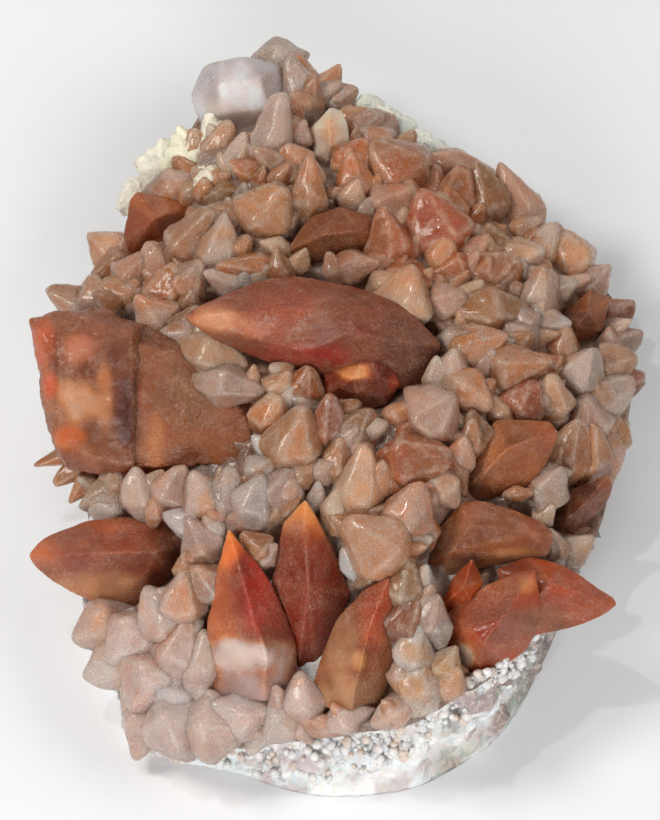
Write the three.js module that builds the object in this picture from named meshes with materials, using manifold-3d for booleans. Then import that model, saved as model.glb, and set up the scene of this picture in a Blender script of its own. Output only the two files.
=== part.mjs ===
// A calcite specimen: a loose plate of pale broken rock, its upper side grown over with a crust of small
// calcite crystals, from which larger amber and orange-red dogtooth crystals stand.
// Millimetres, +Z up. The origin is the centre of the flat broken underside that it rests on.
import * as THREE from "three";
import { mergeVertices } from "three/addons/utils/BufferGeometryUtils.js";
import { ConvexGeometry } from "three/addons/geometries/ConvexGeometry.js";
import Module from "manifold-3d";

const wasm = await Module();
wasm.setup();

// Driving dimensions: millimetres and degrees.
const FACE_TILT = 28; // the crystals' common face leans this far forward from straight up
const CROWN = 33; // height of the crust over the middle of the plate
const DOME = 2.6; // how late the crust falls off toward the rim
const CRUST = 5; // thickness of the crust's base under its crystals
const GAP = 0.3; // clearance of every crystal in its seat
const OVERHANG = 1.2; // the crust's rim stands out this far past the rock
const AROUND = 36; // corners around the plate
const PLUMP = 1.18; // a small crystal's full size against the part of it that shows
const LIFT = 0.3; // how far a small crystal's middle stands off the crust, as a share of its width
const FILL_STEP = 6.2; // spacing of the crystals that fill the crust between the placed ones
const RIM_STEP = 10; // spacing of the crystals along the rim
const SIDES = 5; // sides of a small crystal placed by hand
const FILL_SIDES = 4; // sides of one that fills the crust
const RIM_SIDES = 3; // sides of one on the rim
const CENTRE = [0.45, 0.96]; // middle of the whole specimen's outline, against the plate's own middle

// The rim, counter-clockwise from the front left: x, y, height of the crust's edge, and how far the rock's
// foot stands out (or in) below it.
const RIM = [
  [-34, -55, 5, 1], [-28, -58.5, 6, 1], [-22, -60, 8, 0.5], [-14, -60.5, 10, 2], [-7, -61, 13, 4],
  [1, -61, 15, 5], [12, -60.5, 19, 4], [21, -56.5, 22, 3], [26, -53.5, 22, 2], [30, -49, 21, 1],
  [34, -43, 20, 0], [38, -36, 18, -1], [42, -28, 17, -2], [45, -19, 16, -2], [47.5, -9, 16, -2],
  [49.5, 2, 16, -2], [49, 14, 17, -2], [44.5, 22, 18, -2], [38.5, 30, 18, -2], [32, 36, 18, -2],
  [24, 41.5, 19, -3], [14, 46.5, 20, -3], [6, 53, 20, -3], [-3, 60, 20, -3], [-11, 63, 20, -3],
  [-19, 60, 20, -3], [-24, 53, 19, -3], [-28.5, 44, 18, -3], [-34, 36, 17, -3], [-37.5, 28, 16, -2],
  [-42, 21, 16, -2], [-47, 14, 15, -2], [-47.5, 5, 15, -2], [-45, -6, 15, -2], [-42, -15, 14, -2],
  [-41, -25, 13, -1], [-42, -34, 11, -1], [-39, -43, 9, 0], [-36, -49, 7, 0],
];

// Small crystals. Each row: across and up the face (mm), length, width, the way its tip points in the face
// (degrees, 0 right, 90 up) and how far the tip leans out of the face (degrees).
const SMALL = [
  // Along the top
  [-9.7, 67.2, 8, 5.5, 5, 10], [-5.7, 60.5, 11, 5, 110, 15],
  [-4.8, 59.5, 7, 4.5, 75, 40], [-1.7, 62, 7, 4, 60, 20],
  [0.3, 59.7, 6, 4.5, 30, 20], [-11.2, 51, 15, 6, 80, 15],
  [-6.3, 52.7, 5, 3.4, 70, 40], [-6.7, 48.3, 5.5, 4.5, 120, 40],
  [-7.7, 45.3, 5, 3.6, 100, 40], [-4.7, 41.3, 12, 5.4, 85, 20],
  [-11.8, 39.3, 9, 7.4, 60, 45], [3, 44.2, 8.5, 5, 100, 30],
  [3.2, 48.2, 7.5, 6, 60, 25], [4.7, 54.2, 7, 5.4, 45, 30],
  [7.2, 51, 6.6, 5.4, 135, 30], [20.3, 48, 11.5, 5, 170, 20],
  [25.3, 41.3, 11, 7, 100, 25], [26, 33.8, 6, 5, 0, 45],
  [27.8, 29, 6.5, 6, 40, 50], [31.5, 39.5, 13.5, 6.5, 115, 15],
  [17.3, 31.2, 4, 3.4, 160, 60], [-16.3, 48.2, 8, 5, 80, 25],
  [-18.3, 37.8, 7.5, 6, 150, 35], [-19.8, 32.3, 10, 6, 80, 25],
  [-25.3, 33.5, 13.5, 6.6, 55, 25], [-19, 42.3, 6, 4, 10, 35],
  [-13.2, 29.3, 11, 4.6, 175, 30], [-27.7, 44, 9.5, 6, 20, 15],
  [-22.7, 46, 5.5, 3.6, 30, 30], [-19, 45.4, 4.5, 3.4, 160, 40],
  // The red-orange cluster at the upper right
  [20.3, 42.2, 9.5, 6.4, 80, 30], [17, 35.5, 12, 8.6, 110, 25],
  [9.2, 32.7, 12, 6.6, 100, 30], [2.7, 30, 8, 4.8, 10, 45],
  [10.2, 40.7, 7, 6.4, 50, 50], [10.7, 46, 11, 8.6, 130, 25],
  [16, 43.5, 7, 5, 70, 35], [20, 29.5, 7, 5, 200, 40],
  [12, 27, 7.5, 6, 250, 45], [35, 33.5, 7.5, 5.5, 60, 25],
  // Below and around the central crystal
  [-21.3, 15.2, 11.5, 6.8, -15, 30], [-18, 10, 11, 5.6, -10, 30],
  [-9.2, 9.7, 5.5, 4.6, 60, 50], [-5.2, 9.7, 6, 4.8, 80, 45],
  [-10.8, 4.8, 7, 5.2, 75, 45], [11.2, 23.5, 10, 7.4, 80, 35],
  [18, 24, 7, 5, 20, 40], [22.8, 16.3, 9.5, 5.6, 20, 30],
  [28.7, 13.3, 10.5, 6.6, 10, 30], [16.7, 11.2, 6, 3.8, 90, 45],
  [21.2, 9.3, 9, 6, -40, 35], [15.8, 5, 8.6, 7.6, 45, 45],
  [31, 7.2, 7, 5.6, 60, 40], [35.3, 13, 5, 3.8, 30, 50],
  [33.8, 24.5, 9, 5.2, 80, 30], [40.2, 31.2, 9, 6.6, 110, 20],
  [43.6, 27.7, 6.4, 5, 40, 25], [41, 11.8, 8.6, 6.4, 60, 35],
  [45, 7.5, 9.5, 6.4, 30, 15], [42.5, 3.6, 8, 5.8, 100, 30],
  [46.4, 13, 7.5, 6, 20, 15], [47, 1.4, 5.4, 4.2, 70, 25],
  [25.7, 22.8, 12, 7, 175, 25], [3.8, -7.8, 12.5, 6.6, 82, 30],
  [7, -16.8, 11.5, 8.6, 140, 35], [11.8, -11.5, 9.6, 7, 70, 40],
  [14.2, -8.8, 5.5, 3.6, 60, 60], [12, -2.7, 11.5, 7.6, 10, 30],
  [-1.5, 3.2, 9.5, 5.6, 85, 35], [-7, 0.3, 10.5, 8, 80, 35],
  [3.6, 2.2, 7, 5, 60, 30], [17.5, -6.5, 7, 5, 120, 40],
  [31, 18.5, 7, 5, 150, 40], [38.2, 16.5, 7, 4.6, 80, 35],
  // Between the front crystals
  [11.3, -23.2, 8, 5.6, 80, 35], [11.3, -29, 8, 5.4, 70, 35],
  [12.7, -34, 8.5, 5.6, 80, 35], [15.4, -28.6, 7.5, 5, 80, 40],
  [13.6, -39, 8.5, 5.6, 85, 25], [17.5, -36, 6, 4.4, 60, 30],
  [-5, -42, 8, 5.4, 100, 20], [-14.3, -44.5, 10, 6.6, 160, 25],
  [-8.6, -45, 8, 5.4, 40, 25], [1.5, -44.6, 8, 4.6, 20, 20],
  [9.5, -43.4, 7, 4.4, 30, 20],
  // Lower left
  [-38.5, -29.8, 9.5, 7, 200, 20], [-33.5, -31.5, 10, 7.4, 225, 30],
  [-28.5, -28.2, 9.4, 7, 120, 35], [-36, -35.7, 9.4, 7, 210, 20],
  [-31, -38.2, 9.6, 7.6, 240, 30], [-25.2, -25.7, 8.6, 6.4, 90, 35],
  [-26, -34, 10.5, 6.4, 75, 35], [-22.5, -36.5, 10, 5.4, 80, 30],
  [-31.5, -46, 10, 6.4, 70, 25], [-26, -46, 10.5, 8.4, 20, 20],
  [-20.2, -46.5, 9.5, 8, 0, 25], [-27.4, -41.4, 8, 6, 130, 30],
  // Between the left dogtooth and the cleaved block
  [-21.8, -9, 8.6, 6, 110, 35], [-18, -8.4, 8.6, 5.4, 80, 30],
  [-13.5, -9.8, 9.5, 6.4, 70, 30], [-9.7, -7.6, 7.6, 5.4, 60, 35],
  [-12.3, -4.4, 6.4, 5, 40, 45], [-38, -8.4, 8.4, 5.4, 200, 30],
  [-32.5, -8.6, 8, 5.4, 100, 30], [-27, -7.8, 7.6, 5.4, 70, 35],
  [-22, -16, 7.6, 5.6, 120, 35],
  // The left edge
  [-44.3, 24, 8.6, 5, 150, 15], [-40.8, 25, 6.6, 5, 90, 25],
  [-38.2, 24.5, 6, 4.6, 60, 35], [-30.2, 21.6, 7.6, 6, 130, 35],
  [-38.9, 33.3, 7, 5.4, 140, 20], [-37.3, 30, 7.4, 5.4, 200, 30],
  [-33.8, 28.4, 7.6, 5.6, 60, 35], [-30, 30.4, 7.4, 5.4, 110, 35],
  [-35.6, 25.8, 7, 5.2, 160, 35], [-28.5, 26, 7.6, 5.8, 80, 40],
  [-24.8, 27, 7.4, 5.6, 60, 40], [-45.7, -1.6, 8, 2.8, 200, 15],
  [-44, -4, 7, 2.8, 215, 20], [-41.8, -6.2, 7, 3, 230, 20],
  // The right edge
  [35.3, -7.5, 7.6, 5.4, 60, 40], [34.3, -11.7, 4.4, 3, 50, 55],
  [39, -1.5, 10, 6, 70, 30], [42.3, -2.2, 10, 5.8, 85, 30],
  [45.2, -1, 9, 4.8, 95, 20], [47.6, 22, 6, 4.4, 30, 15],
  [48.2, 17.6, 6, 4.4, 20, 20], [48.8, 10.5, 6.4, 4.4, 10, 15],
];

// Large crystals, each as the corners of its convex body: across and up the face and out of it, from a
// place on the crust at `at`, `out` above or below it. Those that grew together share a name.
const LARGE = [
  {
    name: "front_dogtooth_left", colour: 0xc4502a, at: [-14, -30], out: 1,
    bodies: [[
      [-17.7, -13, 4], [-19.3, -20.6, 1], [-21.4, -30.4, 0], [-21, -36.8, -1], [-20.2, -41, -3],
      [-15.6, -16.2, 2.5], [-10.5, -22.7, 0.5], [-6.7, -32, -1], [-6.5, -41, -3], [-13.4, -28.6, 6.5],
      [-11.4, -33.6, 6], [-12, -41.5, 2.5], [-15, -29, -6], [-8.5, -31, -5], [-13, -42, -8],
    ]],
  },
  {
    name: "front_dogtooth_right", colour: 0xb87049, at: [4, -34], out: 1,
    bodies: [[
      [8.6, -21.3, 4], [4.5, -23.4, 1.5], [-0.2, -28.7, 0], [-3.3, -37, -1], [-4.4, -42, -3],
      [9.5, -24, 2.5], [9.8, -35.7, 0], [7, -43, -3], [5.4, -29.5, 5.5], [3.4, -38, 5],
      [2.5, -43.4, 1.5], [4.5, -31, -5.5], [8, -37, -5], [2, -43, -8],
    ]],
  },
  {
    name: "front_dogtooth_middle", colour: 0xa8512d, at: [-4.5, -24], out: -3,
    bodies: [[
      [-5, -8.4, 8], [-8.7, -12.4, 4], [-10.4, -22, 1], [-3, -12.2, 4.5], [0.8, -19.3, 2],
      [2.4, -24, 1], [1.2, -28.5, 0], [-6.5, -39, -3], [-3, -39, -3], [-10.8, -27, -1],
      [-4.6, -23, 6.5], [-5.4, -13.5, 7.5], [-4, -22, -5], [-5, -36, -8],
    ]],
  },
  {
    name: "corner_crystals", colour: 0xc0682f, at: [30, -27], out: 2,
    bodies: [
      [
        [18, -27.5, 1], [23.8, -23.2, 2], [29, -20.7, 3], [32.3, -20.2, 4.5], [33.4, -26.8, 2],
        [32.7, -30.5, 1], [31.4, -33.3, 0], [28.3, -35.8, 0], [23.2, -37.8, 0], [20.8, -36.8, 0],
        [18.4, -33.7, 0], [17.3, -29.4, 0], [27.5, -27.5, 8], [24, -32, 7.5], [21.5, -29.5, 6],
        [27, -27, -6], [22, -33, -6],
      ],
      [
        [46.3, -26, 0], [26.3, -20.2, -2], [31.5, -18.2, -2.5], [37.5, -19.4, -2], [42.5, -22.7, -1],
        [45.8, -24.9, -0.5], [44.3, -27.6, -0.5], [42, -28.6, -1], [38.3, -29.6, -2], [34.5, -31, -3],
        [29.5, -31.5, -4], [35.3, -22.4, 2.6], [40.2, -24, 1.6], [31, -27, 1], [34, -24.5, -8],
        [40, -26, -4],
      ],
      [
        [22.3, -18.4, 2], [19, -21.5, 1], [17, -26.5, 0], [24, -22, 1], [23.5, -28, 0],
        [20.8, -23, 4.5], [20, -29, -5],
      ],
    ],
  },
  {
    name: "amber_crystal", colour: 0xb8652f, at: [28.5, -2], out: 1,
    bodies: [[
      [20.8, -7.5, -1], [20.6, -4, -1], [22.6, -1.2, 0], [26.3, 4.2, 0], [30, 4.3, 0.5], [35.3, 4.3, 1.5],
      [36.8, 2.6, 2], [36.5, 0.6, 1], [35.3, -2, 0], [33.2, -4.9, 0], [30.7, -7.1, -0.5],
      [27, -8.4, -1], [23.2, -8.6, -1], [28.2, -0.4, 5.6], [33, 1.6, 4.8], [24.2, -4.6, 4.6],
      [28, -2, -6],
    ]],
  },
  {
    name: "edge_crystal", colour: 0xbf6b34, at: [41, -10], out: 1,
    bodies: [[
      [45.3, -4.6, 2.5], [46.3, -6.3, 1.5], [45.6, -8.5, 0.5], [43.7, -11.3, 0], [41.7, -12.7, 0],
      [39.5, -14.6, 0], [37.7, -14.6, 0], [36.2, -13.7, 0], [35.4, -12.2, 0], [37.4, -9.6, 0.5],
      [39.2, -7, 1], [43, -6, 1.8], [41.4, -9.6, 4], [38.6, -12, 3.2], [41, -10, -6],
    ]],
  },
  {
    name: "brown_crystal", colour: 0x9a5a38, at: [24, -15], out: -0.5,
    bodies: [[
      [20.3, -9.2, 0], [24.7, -9.1, 0], [29.5, -10.4, 0], [34.5, -13, 0], [35.9, -14.6, 0],
      [34.8, -18, 0], [23.5, -18.8, 0], [17.2, -21.6, -1], [13.2, -20, -1], [15.7, -14.8, -1],
      [22, -12.8, 4.4], [32, -14.2, 3.4], [19, -17.2, 3.8], [24, -15, -6],
    ]],
  },
  {
    name: "central_crystals", colour: 0xb04424, at: [-5, 19], out: 3,
    bodies: [
      [
        [-25.6, 21.3, 4], [-22.3, 23.8, 2], [-17.3, 25.8, 0], [-11.7, 27.8, -1], [-6, 28.2, -1],
        [-0.2, 27.2, -1], [7, 25.4, -1], [-23.5, 20, 3], [-20.3, 17.6, 2], [-16, 15.6, 1],
        [-10.2, 14, 1], [-6, 12.6, 1], [-2.4, 11.6, 0], [-12, 22.4, 7], [-4.4, 22.8, 8.6],
        [-0.8, 23.4, 8.8], [2.3, 18.3, 8.6], [-6, 15.8, 7.2], [-15.5, 18.2, 5.6], [12.6, 22.5, 0],
        [17.6, 17, 0], [14.6, 10, -2], [6, 8.6, 0], [12, 17, 4], [-8, 20, -8], [8, 17, -9],
      ],
      [
        [10.3, 10.3, 2], [8.5, 14.5, 2], [5, 16, 3], [-1.8, 13.5, 2], [-1.8, 8.4, 2], [4, 5.7, 1.5],
        [8.2, 6.8, 1.5], [3, 11.2, 7.6], [6.8, 11.2, 6.4], [3, 10, -7],
      ],
    ],
  },
  {
    name: "left_dogtooth", colour: 0xa85732, at: [-36, -18], out: 2,
    bodies: [[
      [-50.9, -18.1, 1], [-49.2, -15.6, 0], [-46.2, -14.2, 0], [-42, -12.3, -0.5], [-36, -11.9, -1],
      [-27.8, -12.3, -2], [-25.2, -14, -2], [-23.2, -15.8, -2.5], [-49.8, -20.3, 0], [-47, -22.3, 0],
      [-43.7, -24.5, -0.5], [-40.8, -25.8, -1], [-33.5, -26.4, -2], [-26.8, -22.8, -3], [-46, -18, 4],
      [-38, -17.6, 6.6], [-30, -17.4, 5.6], [-37, -19, -6.5], [-28, -18, -9],
    ]],
  },
  {
    name: "cleaved_block", colour: 0xb0663f, at: [-32, 8], out: 1,
    bodies: [
      [
        [-51.4, 21.2, 1], [-48, 22.5, 0], [-38.4, 22.5, 0], [-31, 20.4, 0], [-50.3, 14.5, 1],
        [-48.4, 8.8, 0], [-48, 2.6, -1], [-45, -4.6, -2], [-31, -4.8, -1], [-49, 19, 4],
        [-34, 19.2, 7], [-45.5, 14, 6.4], [-46.5, 0.4, 3.6], [-33.6, -3.6, 5.6], [-46, 20, -5],
        [-32, 19, -6], [-44, -2, -6], [-32, -3, -7],
      ],
      [
        [-40, 20.6, 0], [-33, 20.8, 1], [-22.6, 16.8, 1], [-16, 11.8, 0], [-12.7, 4.2, 0],
        [-13.3, -3.4, -1], [-17, -5.2, -1], [-40, -4.9, -1], [-38, 18, 5], [-24, 14.4, 5],
        [-14.8, 3.6, 3.6], [-15, -3.4, 3], [-38, -3.6, 4.2], [-30, 10, -8], [-18, 2, -8],
      ],
    ],
  },
  {
    name: "diamond_crystal", colour: 0xb97349, at: [-31, 38], out: 1,
    bodies: [[
      [-34, 43.3, 0], [-35.4, 42, 0], [-36.4, 34.3, 0], [-35, 32.8, 0], [-32.7, 33.8, 0],
      [-29.4, 34.2, 0], [-27.5, 36.3, 0], [-25.2, 39.7, 0.5], [-25.7, 41.4, 0.5], [-29.5, 42.8, 0.5],
      [-31, 38.6, 3.8], [-28.5, 39.5, 3], [-31, 38, -5],
    ]],
  },
  {
    name: "upper_brown_crystal", colour: 0xb06a3c, at: [0, 35], out: 1,
    bodies: [[
      [-8.5, 32.6, 1], [-6, 36.5, 0], [-4.3, 38.7, 0], [0.7, 40.3, 0], [5.7, 38.7, 0], [8.4, 35.2, 0],
      [5.6, 32.4, 0], [2, 31.4, 0], [-4.3, 30.7, 0], [-2, 35.4, 4.8], [4, 36, 4.8], [0, 35, -6],
    ]],
  },
  {
    name: "upper_amber_crystal", colour: 0xc9976c, at: [-1, 53], out: 1.5,
    bodies: [[
      [-1, 57.9, 1], [1, 57.4, 1], [2.2, 55, 1], [2.2, 51, 1], [0.6, 48.4, 0.5], [-1.5, 47.4, 0.5],
      [-4, 49, 0.5], [-4.6, 54, 0.5], [-1.2, 54, 4.4], [-1, 51, 4.2], [-1, 53, -6],
    ]],
  },
  {
    name: "right_amber_crystal", colour: 0xb87440, at: [42, 21.5], out: 1,
    bodies: [[
      [46.4, 25.2, 1], [43, 26.5, 0.5], [38.3, 22.5, 0], [37.1, 19, 0], [40, 17, 0], [45, 19.5, 0.5],
      [42.4, 22.6, 4], [40.6, 20, 3.4], [42, 22, -6],
    ]],
  },
  {
    name: "clear_crystal", colour: 0xc9bcc0, at: [-16.5, 60], out: 1,
    bodies: [[
      [-24.2, 60, 0], [-21.4, 64.6, 0], [-16.8, 66.6, 0], [-10.5, 65, 0], [-9.3, 60, 0], [-11, 55, 0],
      [-17, 54, 0], [-22.6, 56, 0], [-19.6, 62, 4.4], [-13.4, 62.4, 4.6], [-12.4, 58, 4.4],
      [-19, 57.4, 4.4], [-16, 60, -6],
    ]],
  },
];

const rad = THREE.MathUtils.degToRad;
const faceUp = new THREE.Vector3(0, Math.cos(rad(FACE_TILT)), Math.sin(rad(FACE_TILT)));
const faceOut = new THREE.Vector3(0, -Math.sin(rad(FACE_TILT)), Math.cos(rad(FACE_TILT)));

// A repeatable random number from 0 to 1.
function randomFrom(seed) {
  let state = seed;
  return () => {
    state = (state * 16807) % 2147483647;
    return state / 2147483647;
  };
}

// The rim as even steps around the plate: corner angle, radius, edge height and foot.
const rimCurve = new THREE.CatmullRomCurve3(
  RIM.map(([x, y, z]) => new THREE.Vector3(x, y, z)), true,
);
const footCurve = new THREE.CatmullRomCurve3(RIM.map((r) => new THREE.Vector3(r[3], 0, 0)), true);
const rimTrace = Array.from({ length: 720 }, (_, i) => {
  const p = rimCurve.getPoint(i / 720);
  const foot = footCurve.getPoint(i / 720).x;
  return { angle: Math.atan2(p.y, p.x), radius: Math.hypot(p.x, p.y), edge: p.z, foot };
});

// The rim in the direction of an angle: the mean of the traced points nearest to it.
function rimAt(angle) {
  let best = rimTrace[0];
  let least = Infinity;
  for (const p of rimTrace) {
    const off = Math.abs(Math.atan2(Math.sin(p.angle - angle), Math.cos(p.angle - angle)));
    if (off < least) {
      least = off;
      best = p;
    }
  }
  return best;
}

// Height of the crust at x, y.
function crustHeight(x, y) {
  const rim = rimAt(Math.atan2(y, x));
  const share = Math.min(Math.hypot(x, y) / rim.radius, 1);
  return CROWN + (rim.edge - CROWN) * share ** DOME;
}

// The place on the crust that lies behind a point of the face.
function onCrust(across, up) {
  let out = 30;
  for (let i = 0; i < 12; i += 1) {
    const y = up * faceUp.y + out * faceOut.y;
    out = (crustHeight(across, y) - up * faceUp.z) / faceOut.z;
  }
  return out;
}

// A point of the face frame in the part's own frame.
function fromFace(across, up, out) {
  return new THREE.Vector3(across, up * faceUp.y + out * faceOut.y, up * faceUp.z + out * faceOut.z);
}

function toSolid(geometry) {
  const plain = geometry.clone();
  plain.deleteAttribute("normal");
  plain.deleteAttribute("uv");
  const merged = mergeVertices(plain, 1e-4);
  return new wasm.Manifold(new wasm.Mesh({
    numProp: 3,
    vertProperties: new Float32Array(merged.attributes.position.array),
    triVerts: new Uint32Array(merged.index.array),
  }));
}

function hull(points) {
  return toSolid(new ConvexGeometry(points));
}

function toGeometry(solid) {
  const { numProp, vertProperties, triVerts } = solid.getMesh();
  const count = vertProperties.length / numProp;
  const positions = new Float32Array(count * 3);
  for (let i = 0; i < count; i += 1) {
    positions.set(vertProperties.subarray(i * numProp, i * numProp + 3), i * 3);
  }
  const geometry = new THREE.BufferGeometry();
  geometry.setAttribute("position", new THREE.BufferAttribute(positions, 3));
  geometry.setIndex(new THREE.BufferAttribute(new Uint32Array(triVerts), 1));
  return geometry;
}

// A closed body from rings of equal count, each a list of points counter-clockwise seen from above, with
// a first and a last point that close its ends. The rings run from the underside up.
function ringBody(first, rings, last) {
  const count = rings[0].length;
  const points = [first, ...rings.flat(), last];
  const index = [];
  const at = (ring, i) => 1 + ring * count + (i % count);
  for (let i = 0; i < count; i += 1) {
    index.push(0, at(0, i + 1), at(0, i));
    for (let ring = 0; ring + 1 < rings.length; ring += 1) {
      index.push(at(ring, i), at(ring, i + 1), at(ring + 1, i + 1));
      index.push(at(ring, i), at(ring + 1, i + 1), at(ring + 1, i));
    }
    index.push(at(rings.length - 1, i), at(rings.length - 1, i + 1), points.length - 1);
  }
  const geometry = new THREE.BufferGeometry().setFromPoints(points);
  geometry.setIndex(index);
  return toSolid(geometry);
}

// One ring of the plate: a share of the rim's radius plus an offset, at a height given by a function.
function plateRing(share, offset, heightOf, roughness, random) {
  return Array.from({ length: AROUND }, (_, i) => {
    const angle = (i / AROUND) * 2 * Math.PI;
    const rim = rimAt(angle);
    const radius = rim.radius * share + offset(rim) + (random() - 0.5) * roughness;
    const x = radius * Math.cos(angle);
    const y = radius * Math.sin(angle);
    return new THREE.Vector3(x, y, heightOf(rim, x, y) + (random() - 0.5) * roughness * 0.6);
  });
}

// The rock: flat broken underside, rough broken sides, and the domed top that the crust grew on.
function rockSolid(grow) {
  const random = randomFrom(71);
  const still = () => 0;
  const foot = plateRing(1, (rim) => rim.foot + grow, () => 0, 0, still);
  foot.forEach((p) => p.setZ(-grow));
  const wall = (share) => plateRing(
    1, (rim) => rim.foot * (1 - share) + grow, (rim) => rim.edge * share, 1.6, random,
  );
  const top = (share, under) => plateRing(
    share, () => 0, (rim, x, y) => crustHeight(x, y) - under + grow, 0.8, random,
  );
  const shoulder = plateRing(1, () => -0.6 + grow, (rim) => rim.edge - 1.2 + grow, 0.8, random);
  return ringBody(
    new THREE.Vector3(0, 0, -grow),
    [foot, wall(0.45), shoulder, top(0.7, CRUST)],
    new THREE.Vector3(0, 0, CROWN - CRUST + grow),
  );
}

// The crust's own base, before its crystals: it laps a little over the rock's edge.
function crustBase() {
  const random = randomFrom(37);
  const top = (share) => plateRing(share, () => 0, (rim, x, y) => crustHeight(x, y), 1.2, random);
  const under = plateRing(0.9, () => 0, (rim) => rim.edge - 4, 0.5, random);
  const lip = plateRing(1, () => OVERHANG, (rim) => rim.edge - 1.6, 1.4, random);
  return ringBody(
    new THREE.Vector3(0, 0, 3),
    [under, lip, top(0.94), top(0.62), top(0.3)],
    new THREE.Vector3(0, 0, CROWN),
  );
}

// A small crystal along +Z: a tip, a zigzag girdle and a pointed foot.
function smallCrystal(length, width, sides, random) {
  const points = [new THREE.Vector3(0, 0, -0.5 * length), new THREE.Vector3(0, 0, 0.48 * length)];
  for (let i = 0; i < sides; i += 1) {
    const angle = ((i + 0.3 * random()) / sides) * 2 * Math.PI;
    const radius = width * (0.47 + 0.06 * random());
    const zigzag = length * (i % 2 ? 0.09 : -0.07);
    points.push(new THREE.Vector3(radius * Math.cos(angle), radius * Math.sin(angle), zigzag));
  }
  return points;
}

// Its points laid on the crust: tip turned in the face and leaning out of it.
function placed(points, [across, up, length, width, turn, lean]) {
  const direction = new THREE.Vector3(Math.cos(rad(turn)) * Math.cos(rad(lean)), 0, 0)
    .addScaledVector(faceUp, Math.sin(rad(turn)) * Math.cos(rad(lean)))
    .addScaledVector(faceOut, Math.sin(rad(lean)));
  const spin = new THREE.Quaternion().setFromUnitVectors(new THREE.Vector3(0, 0, 1), direction);
  const centre = fromFace(across, up, onCrust(across, up) + LIFT * width);
  return points.map((p) => p.clone().applyQuaternion(spin).add(centre));
}

// Crystals that fill the crust between those placed by hand, on a jittered grid of the face.
function fillRows(taken) {
  const random = randomFrom(5);
  const rows = [];
  for (let up = -54; up < 70; up += FILL_STEP) {
    for (let across = -50; across < 52; across += FILL_STEP) {
      const a = across + (random() - 0.5) * 3;
      const b = up + (random() - 0.5) * 3;
      const size = 6 + 2.5 * random();
      const row = [a, b, size, size * 0.72, random() * 360, 25 + 35 * random()];
      const y = b * faceUp.y + onCrust(a, b) * faceOut.y;
      const inside = Math.hypot(a, y) < rimAt(Math.atan2(y, a)).radius * 0.95;
      const free = taken.every(([x, v, reach]) => Math.hypot(x - a, v - b) > reach);
      if (inside && free) rows.push(row);
    }
  }
  return rows;
}

// Crystals along the rim, pointing outward and slightly up.
function rimCrystals() {
  const random = randomFrom(19);
  const points = [];
  const steps = Math.round(rimCurve.getLength() / RIM_STEP);
  for (let i = 0; i < steps; i += 1) {
    const p = rimCurve.getPointAt(i / steps);
    const length = 7 + 2 * random();
    const outward = Math.atan2(p.y, p.x) + (random() - 0.5) * 1.2;
    const rise = rad(15 + 35 * random());
    const direction = new THREE.Vector3(
      Math.cos(outward) * Math.cos(rise), Math.sin(outward) * Math.cos(rise), Math.sin(rise),
    );
    const spin = new THREE.Quaternion().setFromUnitVectors(new THREE.Vector3(0, 0, 1), direction);
    const centre = new THREE.Vector3(p.x * 0.96, p.y * 0.96, p.z - 1.5);
    points.push(
      smallCrystal(length, length * 0.68, RIM_SIDES, random)
        .map((q) => q.applyQuaternion(spin).add(centre)),
    );
  }
  return points;
}

// The points of one body of a large crystal, grown outward from its middle by the seat's clearance.
function largePoints(crystal, body, grow) {
  const base = onCrust(...crystal.at) + crystal.out;
  const middle = body.reduce((sum, p) => sum.add(new THREE.Vector3(...p)), new THREE.Vector3())
    .divideScalar(body.length);
  return body.map(([across, up, out]) => {
    const p = new THREE.Vector3(across, up, out);
    const away = p.clone().sub(middle).normalize();
    p.addScaledVector(away, grow * 1.6);
    return fromFace(p.x, p.y, p.z + base);
  });
}

function largeSolid(crystal, grow) {
  return crystal.bodies
    .map((body) => hull(largePoints(crystal, body, grow)))
    .reduce((all, one) => all.add(one));
}

// The biggest body of a cut: loose chips are dropped.
function largestBody(solid) {
  return solid.decompose().reduce((best, one) => (one.volume() > best.volume() ? one : best));
}

// The large crystals, each cut back to its clearance where one listed before it is closer.
const seats = LARGE.map((crystal) => largeSolid(crystal, GAP));
const largeSolids = LARGE.map((crystal, i) => {
  let solid = largeSolid(crystal, 0);
  seats.slice(0, i).forEach((seat) => {
    solid = solid.subtract(seat);
  });
  return largestBody(solid);
});

// The crust: its base and every small crystal joined, cut away from the rock and the large crystals.
const takenByLarge = LARGE.flatMap((crystal) => crystal.bodies.flatMap(
  (body) => body.map(([a, b]) => [a, b, 1.6]).concat(
    body.map(([a, b]) => [(a + crystal.at[0]) / 2, (b + crystal.at[1]) / 2, 2.6]),
  ),
));
const taken = SMALL.map(([a, b, length, width]) => [a, b, 0.3 * (length + width)]).concat(takenByLarge);
const random = randomFrom(11);
const handSolids = SMALL.map((row) => hull(
  placed(smallCrystal(row[2] * PLUMP, row[3] * PLUMP, SIDES, random), row),
));
const fillSolids = fillRows(taken).map((row) => hull(
  placed(smallCrystal(row[2] * PLUMP, row[3] * PLUMP, FILL_SIDES, random), row),
));
const smallSolids = [...handSolids, ...fillSolids, ...rimCrystals().map(hull)];
let crust = smallSolids.reduce((all, one) => all.add(one), crustBase()).subtract(rockSolid(GAP));
seats.forEach((seat) => {
  crust = crust.subtract(seat);
});
crust = largestBody(crust);

let rock = rockSolid(0);
seats.forEach((seat) => {
  rock = rock.subtract(seat);
});
rock = largestBody(rock);

const specimen = new THREE.Group();
specimen.position.set(-CENTRE[0], -CENTRE[1], 0);

function addPiece(name, solid, colour, roughness) {
  const material = new THREE.MeshStandardMaterial({ color: colour, roughness, metalness: 0 });
  const mesh = new THREE.Mesh(toGeometry(solid), material);
  mesh.name = name;
  specimen.add(mesh);
}

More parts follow.
